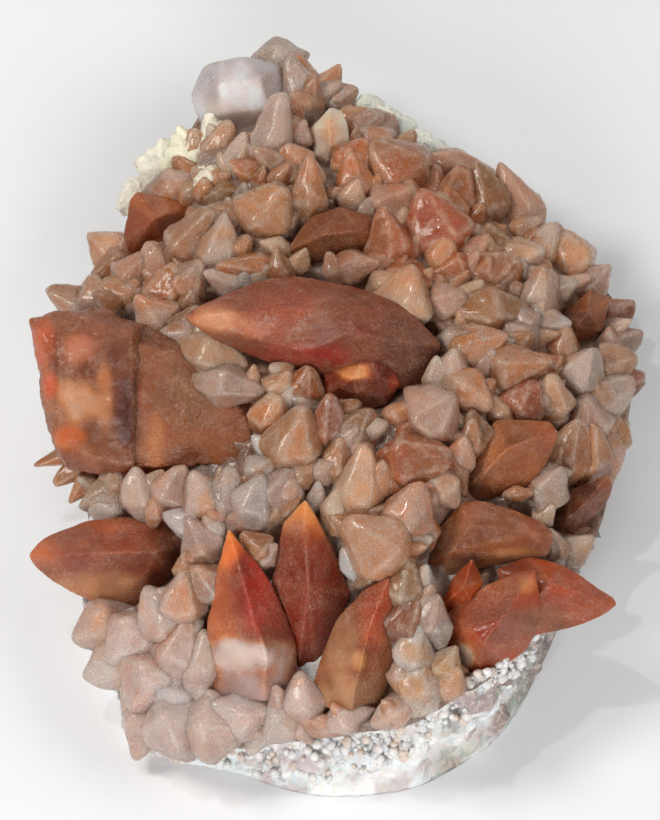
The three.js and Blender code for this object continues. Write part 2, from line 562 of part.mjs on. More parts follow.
addPiece("matrix", rock, 0xdfe2d6, 0.9);
addPiece("crystal_crust", crust, 0xb59a8f, 0.4);
LARGE.forEach((crystal, i) => addPiece(crystal.name, largeSolids[i], crystal.colour, 0.35));

export default specimen;
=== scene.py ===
import math

import bmesh
import bpy
import numpy as np
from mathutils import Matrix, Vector


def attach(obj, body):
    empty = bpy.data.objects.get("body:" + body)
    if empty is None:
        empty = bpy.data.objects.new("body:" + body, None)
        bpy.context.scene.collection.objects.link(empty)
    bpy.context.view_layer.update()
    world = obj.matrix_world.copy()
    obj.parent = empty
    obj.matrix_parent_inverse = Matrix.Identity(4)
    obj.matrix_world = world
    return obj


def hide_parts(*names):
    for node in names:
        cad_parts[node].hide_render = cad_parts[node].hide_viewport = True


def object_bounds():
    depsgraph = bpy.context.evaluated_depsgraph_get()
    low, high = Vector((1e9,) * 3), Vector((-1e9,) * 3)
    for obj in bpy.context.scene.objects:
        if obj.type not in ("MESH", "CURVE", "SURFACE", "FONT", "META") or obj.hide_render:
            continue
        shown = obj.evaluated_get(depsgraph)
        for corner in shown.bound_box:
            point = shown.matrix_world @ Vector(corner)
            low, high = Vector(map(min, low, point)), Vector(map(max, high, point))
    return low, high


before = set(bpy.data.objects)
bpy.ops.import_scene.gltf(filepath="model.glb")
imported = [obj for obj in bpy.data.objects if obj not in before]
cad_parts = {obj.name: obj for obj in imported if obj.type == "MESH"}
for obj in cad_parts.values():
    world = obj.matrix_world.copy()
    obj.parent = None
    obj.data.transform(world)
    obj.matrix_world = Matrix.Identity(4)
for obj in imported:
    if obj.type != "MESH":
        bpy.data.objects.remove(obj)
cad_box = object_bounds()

# The setting: a plain pale floor and soft studio light from the upper left, and a long lens that looks down
# on the specimen along the way its crystals face. Sizes are in millimetres until they reach Blender.
MM = 0.001
# The crystals face the photo's viewpoint: the face's tilt, and its own up and out. CENTRE is where the
# photo's middle lies in the part's frame.
FACE_TILT = math.radians(28)
FACE_UP = np.array([0.0, math.cos(FACE_TILT), math.sin(FACE_TILT)])
FACE_OUT = np.array([0.0, -math.sin(FACE_TILT), math.cos(FACE_TILT)])
CENTRE = np.array([0.45, 0.96, 0.0])
VIEW_AIM = (-1.0, 6.0, 28.0)
FRAME_HEIGHT = 820 / 6
LENS = 250.0
SENSOR = 36.0
LAMP_AIM = (0, 0, 0.02)
WORLD_LIGHT = 0.1
FLOOR_HALF = 3.0
FLOOR_COLOUR = (0.76, 0.775, 0.8, 1.0)
# Each lamp: name, place and size in metres, power in watts, and colour.
LAMPS = (
    ("key", (-0.45, 0.05, 0.6), 0.2, 2.9, (1.0, 0.96, 0.9)),
    ("spark", (-0.28, 0.12, 0.85), 0.03, 0.9, (1.0, 1.0, 1.0)),
    ("right", (0.55, -0.1, 0.5), 0.4, 1.9, (1.0, 0.97, 0.92)),
    ("front", (-0.1, -0.6, 0.35), 0.4, 3.0, (1.0, 0.99, 0.98)),
    ("back", (0.1, 0.6, 0.5), 0.4, 1.1, (1.0, 1.0, 1.0)),
)


def from_face(across, up, out):
    """Points of the crystals' common face in the part's own frame, in millimetres."""
    across = np.asarray(across, dtype=float)
    up = np.asarray(up, dtype=float)
    out = np.asarray(out, dtype=float)
    x = across - CENTRE[0]
    y = up * FACE_UP[1] + out * FACE_OUT[1] - CENTRE[1]
    z = up * FACE_UP[2] + out * FACE_OUT[2]
    return np.stack(np.broadcast_arrays(x, y, z), axis=-1)


def light(name, place, size, power, colour):
    """A soft square lamp at a place in metres, turned to the specimen."""
    data = bpy.data.lights.new(name, "AREA")
    data.size = size
    data.energy = power
    data.color = colour
    lamp = bpy.data.objects.new(name, data)
    lamp.location = place
    lamp.rotation_euler = (Vector(LAMP_AIM) - Vector(place)).to_track_quat("-Z", "Y").to_euler()
    bpy.context.scene.collection.objects.link(lamp)


camera_data = bpy.data.cameras.new("camera")
camera_data.lens = LENS
camera_data.sensor_width = SENSOR
camera_data.clip_start = 0.05
camera = bpy.data.objects.new("camera", camera_data)
bpy.context.scene.collection.objects.link(camera)
aim = from_face(*VIEW_AIM) * MM
distance = LENS * FRAME_HEIGHT * MM / SENSOR
camera.location = Vector(aim + FACE_OUT * distance)
camera.rotation_euler = (FACE_TILT, 0, 0)
bpy.context.scene.camera = camera

for lamp_row in LAMPS:
    light(*lamp_row)
world = bpy.data.worlds.new("studio")
world.use_nodes = True
world.node_tree.nodes["Background"].inputs["Color"].default_value = (1.0, 1.0, 1.0, 1.0)
world.node_tree.nodes["Background"].inputs["Strength"].default_value = WORLD_LIGHT
bpy.context.scene.world = world
bpy.context.scene.view_settings.view_transform = "Standard"

floor_mesh = bpy.data.meshes.new("floor")
floor_corners = [(x * FLOOR_HALF, y * FLOOR_HALF, 0) for x, y in ((-1, -1), (1, -1), (1, 1), (-1, 1))]
floor_mesh.from_pydata(floor_corners, [], [(0, 1, 2, 3)])
floor = bpy.data.objects.new("floor", floor_mesh)
bpy.context.scene.collection.objects.link(floor)
floor_paint = bpy.data.materials.new("pale floor")
floor_paint.use_nodes = True
floor_shader = floor_paint.node_tree.nodes["Principled BSDF"]
floor_shader.inputs["Base Color"].default_value = FLOOR_COLOUR
floor_shader.inputs["Roughness"].default_value = 0.9
floor_mesh.materials.append(floor_paint)


# The matrix: a loose plate of pale green-white rock, broken all round and flat below, its front wall sugary
# white where the light falls on it. Everything else grew on it.
# Each row of the rim: x, y, height of the crust's edge, and how far the rock's foot stands out below it.
RIM = (
    (-34, -55, 5, 1), (-28, -58.5, 6, 1), (-22, -60, 8, 0.5), (-14, -60.5, 10, 2), (-7, -61, 13, 4),
    (1, -61, 15, 5), (12, -60.5, 19, 4), (21, -56.5, 22, 3), (26, -53.5, 22, 2), (30, -49, 21, 1),
    (34, -43, 20, 0), (38, -36, 18, -1), (42, -28, 17, -2), (45, -19, 16, -2), (47.5, -9, 16, -2),
    (49.5, 2, 16, -2), (49, 14, 17, -2), (44.5, 22, 18, -2), (38.5, 30, 18, -2), (32, 36, 18, -2),
    (24, 41.5, 19, -3), (14, 46.5, 20, -3), (6, 53, 20, -3), (-3, 60, 20, -3), (-11, 63, 20, -3),
    (-19, 60, 20, -3), (-24, 53, 19, -3), (-28.5, 44, 18, -3), (-34, 36, 17, -3), (-37.5, 28, 16, -2),
    (-42, 21, 16, -2), (-47, 14, 15, -2), (-47.5, 5, 15, -2), (-45, -6, 15, -2), (-42, -15, 14, -2),
    (-41, -25, 13, -1), (-42, -34, 11, -1), (-39, -43, 9, 0), (-36, -49, 7, 0),
)
# The crust's height over the middle, how flat its dome is, and how thick it is.
CROWN = 33.0
DOME = 2.6
CRUST = 5.0
# Points around the rock, and rings up its wall.
ROCK_AROUND = 420
ROCK_RISES = 34
# How far light spreads in a mineral by colour, and its sheen, which all the minerals share.
GLOW_REACH = (1.0, 0.75, 0.6)
SHEEN = 0.25
COAT_BLUR = 0.12


def trace_rim(steps):
    """The rim as a smooth closed line: rows of x, y, edge height and foot."""
    knots = np.array(RIM, dtype=float)
    at = np.arange(steps) / steps * len(knots)
    k = at.astype(int)
    t = (at - k)[:, None]
    a, b, c, d = (knots[(k + i) % len(knots)] for i in (-1, 0, 1, 2))
    return 0.5 * (2 * b + (c - a) * t + (2 * a - 5 * b + 4 * c - d) * t**2 + (3 * b - a - 3 * c + d) * t**3)


rim_line = trace_rim(720)
rim_angles = np.arctan2(rim_line[:, 1], rim_line[:, 0])
rim_order = np.argsort(rim_angles)
rim_sorted = rim_angles[rim_order]
rim_radius = np.hypot(rim_line[:, 0], rim_line[:, 1])[rim_order]
rim_edge = rim_line[rim_order, 2]
rim_foot = rim_line[rim_order, 3]


def rim_at(angle):
    """Radius, edge height and foot of the rim in the direction of each angle."""
    rows = (rim_radius, rim_edge, rim_foot)
    return tuple(np.interp(angle, rim_sorted, row, period=2 * math.pi) for row in rows)


def crust_height(x, y):
    """Height of the crust over the plate's own x and y."""
    radius, edge, _ = rim_at(np.arctan2(y, x))
    share = np.minimum(np.hypot(x, y) / radius, 1.0)
    return CROWN + (edge - CROWN) * share**DOME


def noise(points, scale, seed):
    """Smooth value noise from 0 to 1, with features of 1/scale millimetres."""
    p = points * scale + seed * 17.31
    cell = np.floor(p)
    f = p - cell
    f = f * f * (3 - 2 * f)
    total = np.zeros(len(points))
    for i in (0, 1):
        for j in (0, 1):
            for k in (0, 1):
                q = cell + (i, j, k)
                h = np.sin(q @ (12.9898, 78.233, 37.719)) * 43758.5453
                h = h - np.floor(h)
                w = np.where(i, f[:, 0], 1 - f[:, 0]) * np.where(j, f[:, 1], 1 - f[:, 1])
                total += h * w * np.where(k, f[:, 2], 1 - f[:, 2])
    return total


def rough(points, scale, seed, octaves=3):
    """Fractal noise around zero, about -0.5 to 0.5."""
    total = np.zeros(len(points))
    size = 1.0
    for i in range(octaves):
        total += (noise(points, scale * 2**i, seed + i) - 0.5) * size
        size *= 0.5
    return total


def colour(code):
    """A screen colour code as linear red, green and blue."""
    rgb = np.array([int(code[i:i + 2], 16) for i in (0, 2, 4)]) / 255
    return np.where(rgb < 0.04045, rgb / 12.92, ((rgb + 0.055) / 1.055) ** 2.4)


def blend(base, over, weight):
    """One tint laid over another with a weight at each point."""
    return base * (1 - weight[:, None]) + over * weight[:, None]


def steps_between(low, high, value):
    """A soft rise from 0 below the low value to 1 above the high one."""
    t = np.clip((value - low) / (high - low), 0, 1)
    return t * t * (3 - 2 * t)


def ring_faces(rings, around):
    """Triangles between rings of points, each closed on itself."""
    i = np.arange(around)
    j = (i + 1) % around
    faces = []
    for ring in range(rings - 1):
        a = ring * around
        b = a + around
        faces.append(np.stack([a + i, a + j, b + j], axis=1))
        faces.append(np.stack([a + i, b + j, b + i], axis=1))
    return np.concatenate(faces)


BOX_LOW, BOX_HIGH = np.array(cad_box)


def add_piece(name, points, faces, tint, frost, material):
    """A mesh piece from points in millimetres, with its colour and frosting at each point."""
    mesh = bpy.data.meshes.new(name)
    points = np.clip(points * MM, BOX_LOW, BOX_HIGH)
    mesh.from_pydata(points.tolist(), [], faces.tolist())
    shade = mesh.color_attributes.new("tint", "FLOAT_COLOR", "POINT")
    shade.data.foreach_set("color", np.column_stack([tint, np.ones(len(tint))]).ravel())
    dull = mesh.attributes.new("frost", "FLOAT", "POINT")
    dull.data.foreach_set("value", frost)
    mesh.shade_smooth()
    mesh.materials.append(material)
    piece = bpy.data.objects.new(name, mesh)
    bpy.context.scene.collection.objects.link(piece)
    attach(piece, "root")
    return piece


def add_node(tree, kind, inputs, **settings):
    """A shader node with its settings, each input linked to a socket or set to a value."""
    node = tree.nodes.new(kind)
    for name, value in settings.items():
        setattr(node, name, value)
    for name, value in inputs.items():
        if isinstance(value, bpy.types.NodeSocket):
            tree.links.new(value, node.inputs[name])
        else:
            node.inputs[name].default_value = value
    return node


def mineral_grain():
    """Group: fine mottling of a mineral's own colour, its painted glints (pale specks standing in for
    highlights) and its relief.
    """
    group = bpy.data.node_groups.new("mineral grain", "ShaderNodeTree")
    for name, way, kind in (
        ("Tint", "INPUT", "Color"), ("Frost", "INPUT", "Float"), ("Grain", "INPUT", "Float"),
        ("Mottle", "INPUT", "Float"), ("Painted_Glint_Amount", "INPUT", "Float"), ("Color", "OUTPUT", "Color"),
        ("Roughness", "OUTPUT", "Float"), ("Height", "OUTPUT", "Float"),
    ):
        group.interface.new_socket(name, in_out=way, socket_type="NodeSocket" + kind)
    given = group.nodes.new("NodeGroupInput").outputs
    place = group.nodes.new("ShaderNodeTexCoord").outputs["Object"]
    fine = add_node(group, "ShaderNodeTexNoise", {
        "Vector": place, "Scale": given["Grain"], "Detail": 6, "Roughness": 0.65})
    broad = add_node(group, "ShaderNodeTexNoise", {"Vector": place, "Scale": 260, "Detail": 4})
    facets = add_node(group, "ShaderNodeTexVoronoi", {"Vector": place, "Scale": 3200})
    swing = add_node(group, "ShaderNodeMapRange", {
        "Value": broad.outputs["Fac"], "From Min": 0.3, "From Max": 0.7, "To Min": 0.72, "To Max": 1.28})
    mottled = add_node(group, "ShaderNodeMix", {
        "Factor": given["Mottle"], "A": given["Tint"], "B": swing.outputs["Result"]},
        data_type="RGBA", blend_type="MULTIPLY")
    # Painted highlights: pale specks in random cells stand in for glints off tiny facets.
    painted_glint_cells = add_node(group, "ShaderNodeMapRange", {
        "Value": facets.outputs["Color"], "From Min": 0.78, "From Max": 0.95})
    painted_glint_mask = add_node(group, "ShaderNodeMath", {0: painted_glint_cells.outputs["Result"], 1: given["Painted_Glint_Amount"]},
                   operation="MULTIPLY")
    painted_glint_colour = add_node(group, "ShaderNodeMix", {
        "Factor": painted_glint_mask.outputs["Value"], "A": mottled.outputs["Result"], "B": (0.86, 0.8, 0.76, 1)},
        data_type="RGBA")
    grains = add_node(group, "ShaderNodeMapRange", {
        "Value": fine.outputs["Fac"], "From Min": 0.46, "From Max": 0.62, "To Max": 0.6})
    rime = add_node(group, "ShaderNodeMath", {0: grains.outputs["Result"], 1: given["Frost"]},
                    operation="MULTIPLY")
    frosted = add_node(group, "ShaderNodeMix", {
        "Factor": rime.outputs["Value"], "A": painted_glint_colour.outputs["Result"], "B": (0.84, 0.7, 0.62, 1)},
        data_type="RGBA")
    dull = add_node(group, "ShaderNodeMapRange", {"Value": given["Frost"], "To Min": 0.1, "To Max": 0.55})
    vary = add_node(group, "ShaderNodeMath", {0: dull.outputs["Result"], 1: swing.outputs["Result"]},
                    operation="MULTIPLY")
    both = add_node(group, "ShaderNodeMath", {0: facets.outputs["Distance"], 1: 0.7, 2: fine.outputs["Fac"]},
                    operation="MULTIPLY_ADD")
    add_node(group, "NodeGroupOutput", {
        "Color": frosted.outputs["Result"], "Roughness": vary.outputs["Value"],
        "Height": both.outputs["Value"]})
    return group


grain_group = mineral_grain()


def mineral(name, grain, mottle, painted_glint_amount, relief, milk, depth, clearness, index, gloss=0.0):
    """A mineral's material: its grain over the piece's own tint, how milky it is and how clear."""
    material = bpy.data.materials.new(name)
    material.use_nodes = True
    tree = material.node_tree
    shader = tree.nodes["Principled BSDF"]
    tint = add_node(tree, "ShaderNodeAttribute", {}, attribute_name="tint")
    frost = add_node(tree, "ShaderNodeAttribute", {}, attribute_name="frost")
    group = add_node(tree, "ShaderNodeGroup", {}, node_tree=grain_group)
    for socket, value in (("Grain", grain), ("Mottle", mottle), ("Painted_Glint_Amount", painted_glint_amount)):
        group.inputs[socket].default_value = value
    tree.links.new(tint.outputs["Color"], group.inputs["Tint"])
    tree.links.new(frost.outputs["Fac"], group.inputs["Frost"])
    bump = add_node(tree, "ShaderNodeBump", {
        "Strength": relief, "Distance": 0.4 * MM, "Height": group.outputs["Height"]})
    tree.links.new(group.outputs["Color"], shader.inputs["Base Color"])
    tree.links.new(group.outputs["Roughness"], shader.inputs["Roughness"])
    tree.links.new(bump.outputs["Normal"], shader.inputs["Normal"])
    for socket, value in (
        ("Subsurface Weight", milk), ("Subsurface Radius", GLOW_REACH), ("Subsurface Scale", depth * MM),
        ("Transmission Weight", clearness), ("IOR", index), ("Specular IOR Level", SHEEN),
        ("Coat Weight", gloss), ("Coat Roughness", COAT_BLUR),
    ):
        shader.inputs[socket].default_value = value
    return material


rock_material = mineral("pale rock", grain=900, mottle=0.25, painted_glint_amount=0.3, relief=0.5, milk=0.15,
    depth=1.0, clearness=0.0, index=1.5)


def rock_rings():
    """The rock's outside as rings from the middle of its flat underside up to under the crust."""
    angle = np.arange(ROCK_AROUND) / ROCK_AROUND * 2 * math.pi
    radius, edge, foot = rim_at(angle)
    rings = []
    for share in (0.02, 0.4, 0.8, 0.97):
        rings.append((share * (radius + foot), np.zeros(ROCK_AROUND)))
    for rise in np.linspace(0, 1, ROCK_RISES):
        rings.append((radius + foot * (1 - rise) - 0.6 * rise, (edge - 1.2) * rise))
    for share in (0.95, 0.8, 0.5, 0.02):
        x = radius * share * np.cos(angle)
        y = radius * share * np.sin(angle)
        rings.append((radius * share, crust_height(x, y) - CRUST))
    return np.concatenate(
        [np.stack([r * np.cos(angle), r * np.sin(angle), z], axis=1) for r, z in rings]
    ), len(rings)


rock_points, rock_ring_count = rock_rings()
rock_faces = ring_faces(rock_ring_count, ROCK_AROUND)
first = np.arange(ROCK_AROUND)
rock_points = np.vstack([rock_points, [[0, 0, 0]], [[0, 0, CROWN - CRUST]]])
under = len(rock_points) - 2
over = len(rock_points) - 1
last = (rock_ring_count - 1) * ROCK_AROUND + first
rock_faces = np.vstack([
    rock_faces,
    np.stack([np.full(ROCK_AROUND, under), (first + 1) % ROCK_AROUND, first], axis=1),
    np.stack([last, (rock_ring_count - 1) * ROCK_AROUND + (first + 1) % ROCK_AROUND,
              np.full(ROCK_AROUND, over)], axis=1),
])


def broken(points, seeds, seed, tilt, lift):
    """Rise and fall of rock broken into tilted lumps around scattered seeds, and each point's lump value."""
    draw = np.random.default_rng(seed)
    pick = points[draw.choice(len(points), seeds, replace=False)]
    slope = draw.normal(0, tilt, (seeds, 3))
    rise = draw.normal(0, lift, seeds)
    warp = np.stack([rough(points, 0.5, 200 + k, 2) for k in range(3)], axis=1) * 2.5
    reach = ((points + warp)[:, None, :] - pick[None]) ** 2
    nearest = reach.sum(axis=2).argmin(axis=1)
    level = rise[nearest] + ((points - pick[nearest]) * slope[nearest]).sum(axis=1)
    return level, draw.random(seeds)[nearest]


outward = rock_points * (1, 1, 0)
outward /= np.maximum(np.linalg.norm(outward, axis=1), 1)[:, None]
on_wall = steps_between(0.0, 1.5, rock_points[:, 2])
lumps = rough(rock_points, 0.16, 1, 4) * 2.6 + rough(rock_points, 0.9, 5, 3) * 0.9 - 0.9
level, lump_value = broken(rock_points, 420, 3, 0.3, 0.35)
fine_level, _ = broken(rock_points, 1500, 4, 0.35, 0.16)
lumps = lumps + np.clip(level, -1.6, 1.4) + np.clip(fine_level, -0.5, 0.5)
rock_points = rock_points + outward * (on_wall * lumps)[:, None]
rock_tint = np.tile(colour("f4f6f4"), (len(rock_points), 1)) * (0.86 + 0.2 * lump_value)[:, None]
right_side = steps_between(12, 22, rock_points[:, 0])
mint = steps_between(0.5, 0.62, noise(rock_points, 0.2, 20)) * (0.35 + 0.65 * right_side)
rock_tint = blend(rock_tint, colour("cfe0cc"), 0.8 * mint)
# The olive patches on the right side are partly the rock's own colour and partly painted shade in its
# crevices.
olive = steps_between(0.52, 0.66, noise(rock_points, 0.24, 24)) * right_side
rock_tint = blend(rock_tint, colour("a09c86"), 0.75 * olive)
mauve = steps_between(0.5, 0.6, noise(rock_points, 0.22, 28)) * right_side
rock_tint = blend(rock_tint, colour("8c6c62"), 0.8 * mauve)
# Painted shade: the rock darkens toward its right edge, the side turned from the light.
rock_tint = blend(rock_tint, colour("7c726e"), 0.75 * steps_between(24, 33, rock_points[:, 0]))
stain = steps_between(0.66, 0.74, noise(rock_points, 0.3, 31))
rock_tint = blend(rock_tint, colour("b09088"), 0.6 * stain * (1 - right_side))
rock_tint = np.clip(rock_tint * (1.1, 1.16, 1.26), 0, 0.985)
rock_frost = np.full(len(rock_points), 0.9)
rock = add_piece("rock", rock_points - CENTRE, rock_faces, rock_tint, rock_frost, rock_material)
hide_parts("matrix")


# Rock that stands out beside the crust: yellow-white lumps at the upper left and a green-white strip along
# the upper right edge.
# Each row: across, up, how far out of the face, half sizes across, up and out, and the tint.
SHOULDERS = (
    (-25, 48.5, 0.5, 4.5, 6.5, 3.6, "f2f0d4"), (-29.5, 46.5, -1, 5, 5.5, 3, "f4f2e0"),
    (-21.5, 45, 1, 3, 3, 2.6, "e8e0c8"), (-33.5, 42.5, -1.5, 4, 4, 2.5, "efeada"),
    (-21, 53, 0.5, 2.6, 4, 2.4, "f0ecd8"), (5.5, 58.5, 0, 2.6, 2.2, 2.2, "e2e6da"),
    (8.5, 56.3, 0, 2.8, 2.2, 2.2, "e6eae0"), (11.4, 54.4, 0, 2.6, 2.2, 2.2, "dfe6dc"),
    (14, 52.3, 0, 2.8, 2.2, 2.2, "e8ece4"), (16.8, 50.8, 0, 2.6, 2, 2, "dde4da"),
    (32.5, 41, 0, 2.6, 3.6, 2.6, "c8c4be"), (-40, 19, -1, 4, 4, 2, "eceae6"),
)


def on_crust(across, up):
    """How far out of the face the crust lies behind a place on the face."""
    out = np.full(np.shape(across), 30.0)
    for _ in range(12):
        y = up * FACE_UP[1] + out * FACE_OUT[1]
        out = (crust_height(across, y) - up * FACE_UP[2]) / FACE_OUT[2]
    return out


BALLS = {}


def ball(fineness):
    """Points and triangles of a unit ball."""
    if fineness not in BALLS:
        bm = bmesh.new()
        bmesh.ops.create_icosphere(bm, subdivisions=fineness, radius=1)
        points = np.array([v.co for v in bm.verts])
        faces = np.array([[v.index for v in f.verts] for f in bm.faces])
        bm.free()
        BALLS[fineness] = points, faces
    return BALLS[fineness]


class Cluster:
    """Points, triangles, tints and frosting of crystals gathered into one mesh."""

    def __init__(self):
        self.parts = []
        self.count = 0

    def add(self, points, faces, tint, frost):
        self.parts.append((points, faces + self.count, tint, frost))
        self.count += len(points)

    def piece(self, name, material):
        """The crystals as one mesh piece."""
        columns = [np.concatenate(c) for c in zip(*self.parts)]
        return add_piece(name, *columns, material)


shoulders = Cluster()
for across, up, out, wide, high, deep, code in SHOULDERS:
    ball_points, ball_faces = ball(5)
    place = from_face(across, up, float(on_crust(across, up)) + out)
    points = place + ball_points[:, :1] * wide * (1, 0, 0) + ball_points[:, 1:2] * high * FACE_UP
    points = points + ball_points[:, 2:] * deep * FACE_OUT
    level, value = broken(points, 60, 7, 0.3, 0.25)
    swell = rough(points, 0.4, 300, 3) * 0.35 + np.clip(level, -1, 1) * 0.12
    points = points + (points - place) * swell[:, None]
    tint = np.tile(colour(code), (len(points), 1)) * (0.82 + 0.22 * value)[:, None]
    shoulders.add(points, ball_faces, np.clip(tint, 0, 0.95), np.full(len(points), 0.9))
shoulder_piece = shoulders.piece("rock_shoulders", rock_material)
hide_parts("matrix")


# Every large crystal is a calcite body between its own growth and break planes, its edges a little round. Its
# place on the common face and its height over the crust come first, then its base tint, the corners of its
# bodies (across, up, out of its seat) and its washes of colour (across, up, half width, half height, tint and
# strength). The crust grows around the crystals that are gathered here.
LARGE_SOFTNESS = 40
large_crystals = []


def planes_of(corners):
    """Facing and distance from the middle of each face of the corners' convex body."""
    middle = corners.mean(axis=0)
    bm = bmesh.new()
    for corner in corners:
        bm.verts.new(corner - middle)
    bmesh.ops.convex_hull(bm, input=bm.verts)
    bm.normal_update()
    facing = np.array([f.normal for f in bm.faces])
    away = np.array([f.normal.dot(f.verts[0].co) for f in bm.faces])
    bm.free()
    flip = np.where(away < 0, -1.0, 1.0)
    return middle, facing * flip[:, None], np.abs(away)


def soft_body(middle, facing, away, axes, reach, fineness, softness):
    """A crystal body with slightly rounded edges: points, triangles, edge measure, rays and painted facet
    shade, each facet a random step lighter or darker.
    """
    points, faces = ball(fineness)
    rays = (points * reach) @ axes
    if np.linalg.det(axes) < 0:
        faces = faces[:, ::-1]
    rays /= np.linalg.norm(rays, axis=1)[:, None]
    pull = np.maximum(rays @ facing.T, 0) / away
    shares = pull**softness
    total = shares.sum(axis=1)
    ranked = np.sort(pull, axis=1)
    edge = np.exp(-26 * (1 - ranked[:, -2] / ranked[:, -1]))
    # Painted shade: each face gets a random brightness, blended softly over the edges, standing in for light
    # falling differently on each facet.
    painted_facet_shades = np.modf(np.abs(np.sin(facing @ (91.7, 47.3, 63.1) + middle[0]) * 977.7))[0]
    facet = (shares @ painted_facet_shades) / total
    return middle + rays * (total ** (-1 / softness))[:, None], faces, edge, rays, facet


def hull_body(corners, fineness, softness):
    """A soft body over the convex hull of its corners."""
    middle, facing, away = planes_of(corners)
    spread = corners - middle
    axes = np.linalg.svd(spread, full_matrices=False)[2]
    reach = np.abs(spread @ axes.T).max(axis=0)
    return soft_body(middle, facing, away, axes, reach, fineness, softness)


def large_crystal(name, material, at, out, base_tint, bodies, washes,
                  relief=0.3, fineness=6, grow=1.02, power=1.3, cast=(1.34, 1.02, 0.58)):
    """A large crystal: its bodies grown together, tinted in soft patches placed on the common face."""
    large_crystals.append((at, bodies))
    seat = float(on_crust(at[0], at[1])) + out
    cluster = Cluster()
    for body in bodies:
        p = np.array(body, dtype=float)
        corners = from_face(p[:, 0], p[:, 1], p[:, 2] + seat)
        middle = corners.mean(axis=0)
        corners = middle + (corners - middle) * grow
        points, faces, edge, rays, facet = hull_body(corners, fineness, LARGE_SOFTNESS)
        points = points + rays * (rough(points, 0.22, 80, 5) * relief * 2)[:, None]
        along = points @ FACE_UP + CENTRE[1] * FACE_UP[1]
        sideways = points[:, 0] + CENTRE[0]
        tint = np.tile(colour(base_tint), (len(points), 1))
        wobble = rough(points, 0.3, 90, 3) * 0.9
        for across, up, wide, high, code, strength in washes:
            d = ((sideways - across) / wide) ** 2 + ((along - up) / high) ** 2
            tint = blend(tint, colour(code), strength * np.exp(-(np.maximum(d + wobble, 0) ** 2)))
        cloud = steps_between(0.45, 0.75, noise(points, 0.3, 94))
        tint = blend(tint, tint * (0.8, 0.62, 0.5), 0.4 * cloud)
        pale = steps_between(0.55, 0.8, noise(points, 0.5, 97))
        warmth = np.array(cast) - 1
        warmth = 1 + warmth * (1 - steps_between(0.2, 0.5, tint[:, 2]))[:, None]
        # The facet factor is painted shade: each facet a step lighter or darker.
        tint = tint**power * warmth * (0.7 + 0.6 * facet)[:, None]
        dust = steps_between(0.55, 0.9, noise(points, 2.2, 99))
        bright = steps_between(0.3, 0.6, tint[:, 1])
        tint = blend(tint, colour("dcac84"), 0.06 * pale + 0.08 * dust)
        # Painted glow: warm orange along the edges stands in for light showing through the thin edges.
        tint = blend(tint, colour("e0a070"), 0.15 * edge)
        cluster.add(points, faces, tint, np.clip(0.04 + 0.2 * edge + 0.14 * pale + 0.5 * bright, 0, 1))
    piece = cluster.piece(name, material)
    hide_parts(name)


# The left one of the three front crystals: an orange-red calcite dogtooth with a red flank and a
# white clouded waist, grown fast to the crust by its root.
red_material = mineral("orange-red calcite", grain=2200, mottle=0.5, painted_glint_amount=0.12, relief=0.6, milk=0.7,
    depth=2.0, clearness=0.3, index=1.45, gloss=0.2)
large_crystal(
    "front_dogtooth_left", red_material, (-14, -30), 1.0, "8e3a28",
    bodies=[[
        (-17.7, -13, 4), (-19.3, -20.6, 1), (-21.4, -30.4, 0), (-21, -36.8, -1), (-20.2, -41, -3),
        (-15.6, -16.2, 2.5), (-10.5, -22.7, 0.5), (-6.7, -32, -1), (-6.5, -41, -3), (-13.4, -28.6, 6.5),
        (-11.4, -33.6, 6), (-12, -41.5, 2.5), (-15, -29, -6), (-8.5, -31, -5), (-13, -42, -8),
    ]],
    washes=[
        (-19.3, -27, 3.4, 12, "bc7e62", 0.9), (-17.6, -15.5, 2.2, 4.5, "e89c68", 0.95),
        (-12, -24.5, 3.2, 7, "c03410", 0.9), (-14.5, -34.4, 8, 2.8, "f2e6e0", 0.9),
        (-13, -40, 9, 4, "ccb8ba", 0.95),
    ],
)


# The right one of the three front crystals: a calcite dogtooth with an amber tip and a grey
# frosted root, grown fast to the crust.
amber_material = mineral("amber calcite", grain=2200, mottle=0.5, painted_glint_amount=0.12, relief=0.6, milk=0.7,
    depth=2.0, clearness=0.3, index=1.45, gloss=0.2)
large_crystal(
    "front_dogtooth_right", amber_material, (4, -34), 1.0, "93634a",
    bodies=[[
        (8.6, -21.3, 4), (4.5, -23.4, 1.5), (-0.2, -28.7, 0), (-3.3, -37, -1), (-4.4, -42, -3),
        (9.5, -24, 2.5), (9.8, -35.7, 0), (7, -43, -3), (5.4, -29.5, 5.5), (3.4, -38, 5),
        (2.5, -43.4, 1.5), (4.5, -31, -5.5), (8, -37, -5), (2, -43, -8),
    ]],
    washes=[
        (7.6, -24.5, 3, 4, "b0592c", 0.9), (5.8, -28.5, 2, 4.5, "b44a22", 0.6),
        (0.5, -33, 2.8, 6, "b49c92", 0.8), (2, -40.5, 7, 3, "b8a49c", 0.8),
        (3.7, -34.8, 1.2, 1.6, "d8c2ac", 0.6),
    ],
)


# The middle front crystal, behind the other two: red-brown calcite with a cream tip, grown fast
# to the crust by its root.
large_crystal(
    "front_dogtooth_middle", red_material, (-4.5, -24), -3.0, "8e4028",
    bodies=[[
        (-5, -8.4, 8), (-8.7, -12.4, 4), (-10.4, -22, 1), (-3, -12.2, 4.5), (0.8, -19.3, 2),
        (2.4, -24, 1), (1.2, -28.5, 0), (-6.5, -39, -3), (-3, -39, -3), (-10.8, -27, -1),
        (-4.6, -23, 6.5), (-5.4, -13.5, 7.5), (-4, -22, -5), (-5, -36, -8),
    ]],
    washes=[
        (-5.2, -11, 5, 3.8, "ecb484", 1.0), (-5.6, -15, 3.5, 3, "a8603a", 0.6),
        (0, -22, 2.5, 6, "8a4630", 0.6), (-4.5, -37, 3, 4, "8a5a48", 0.6),
    ],
)


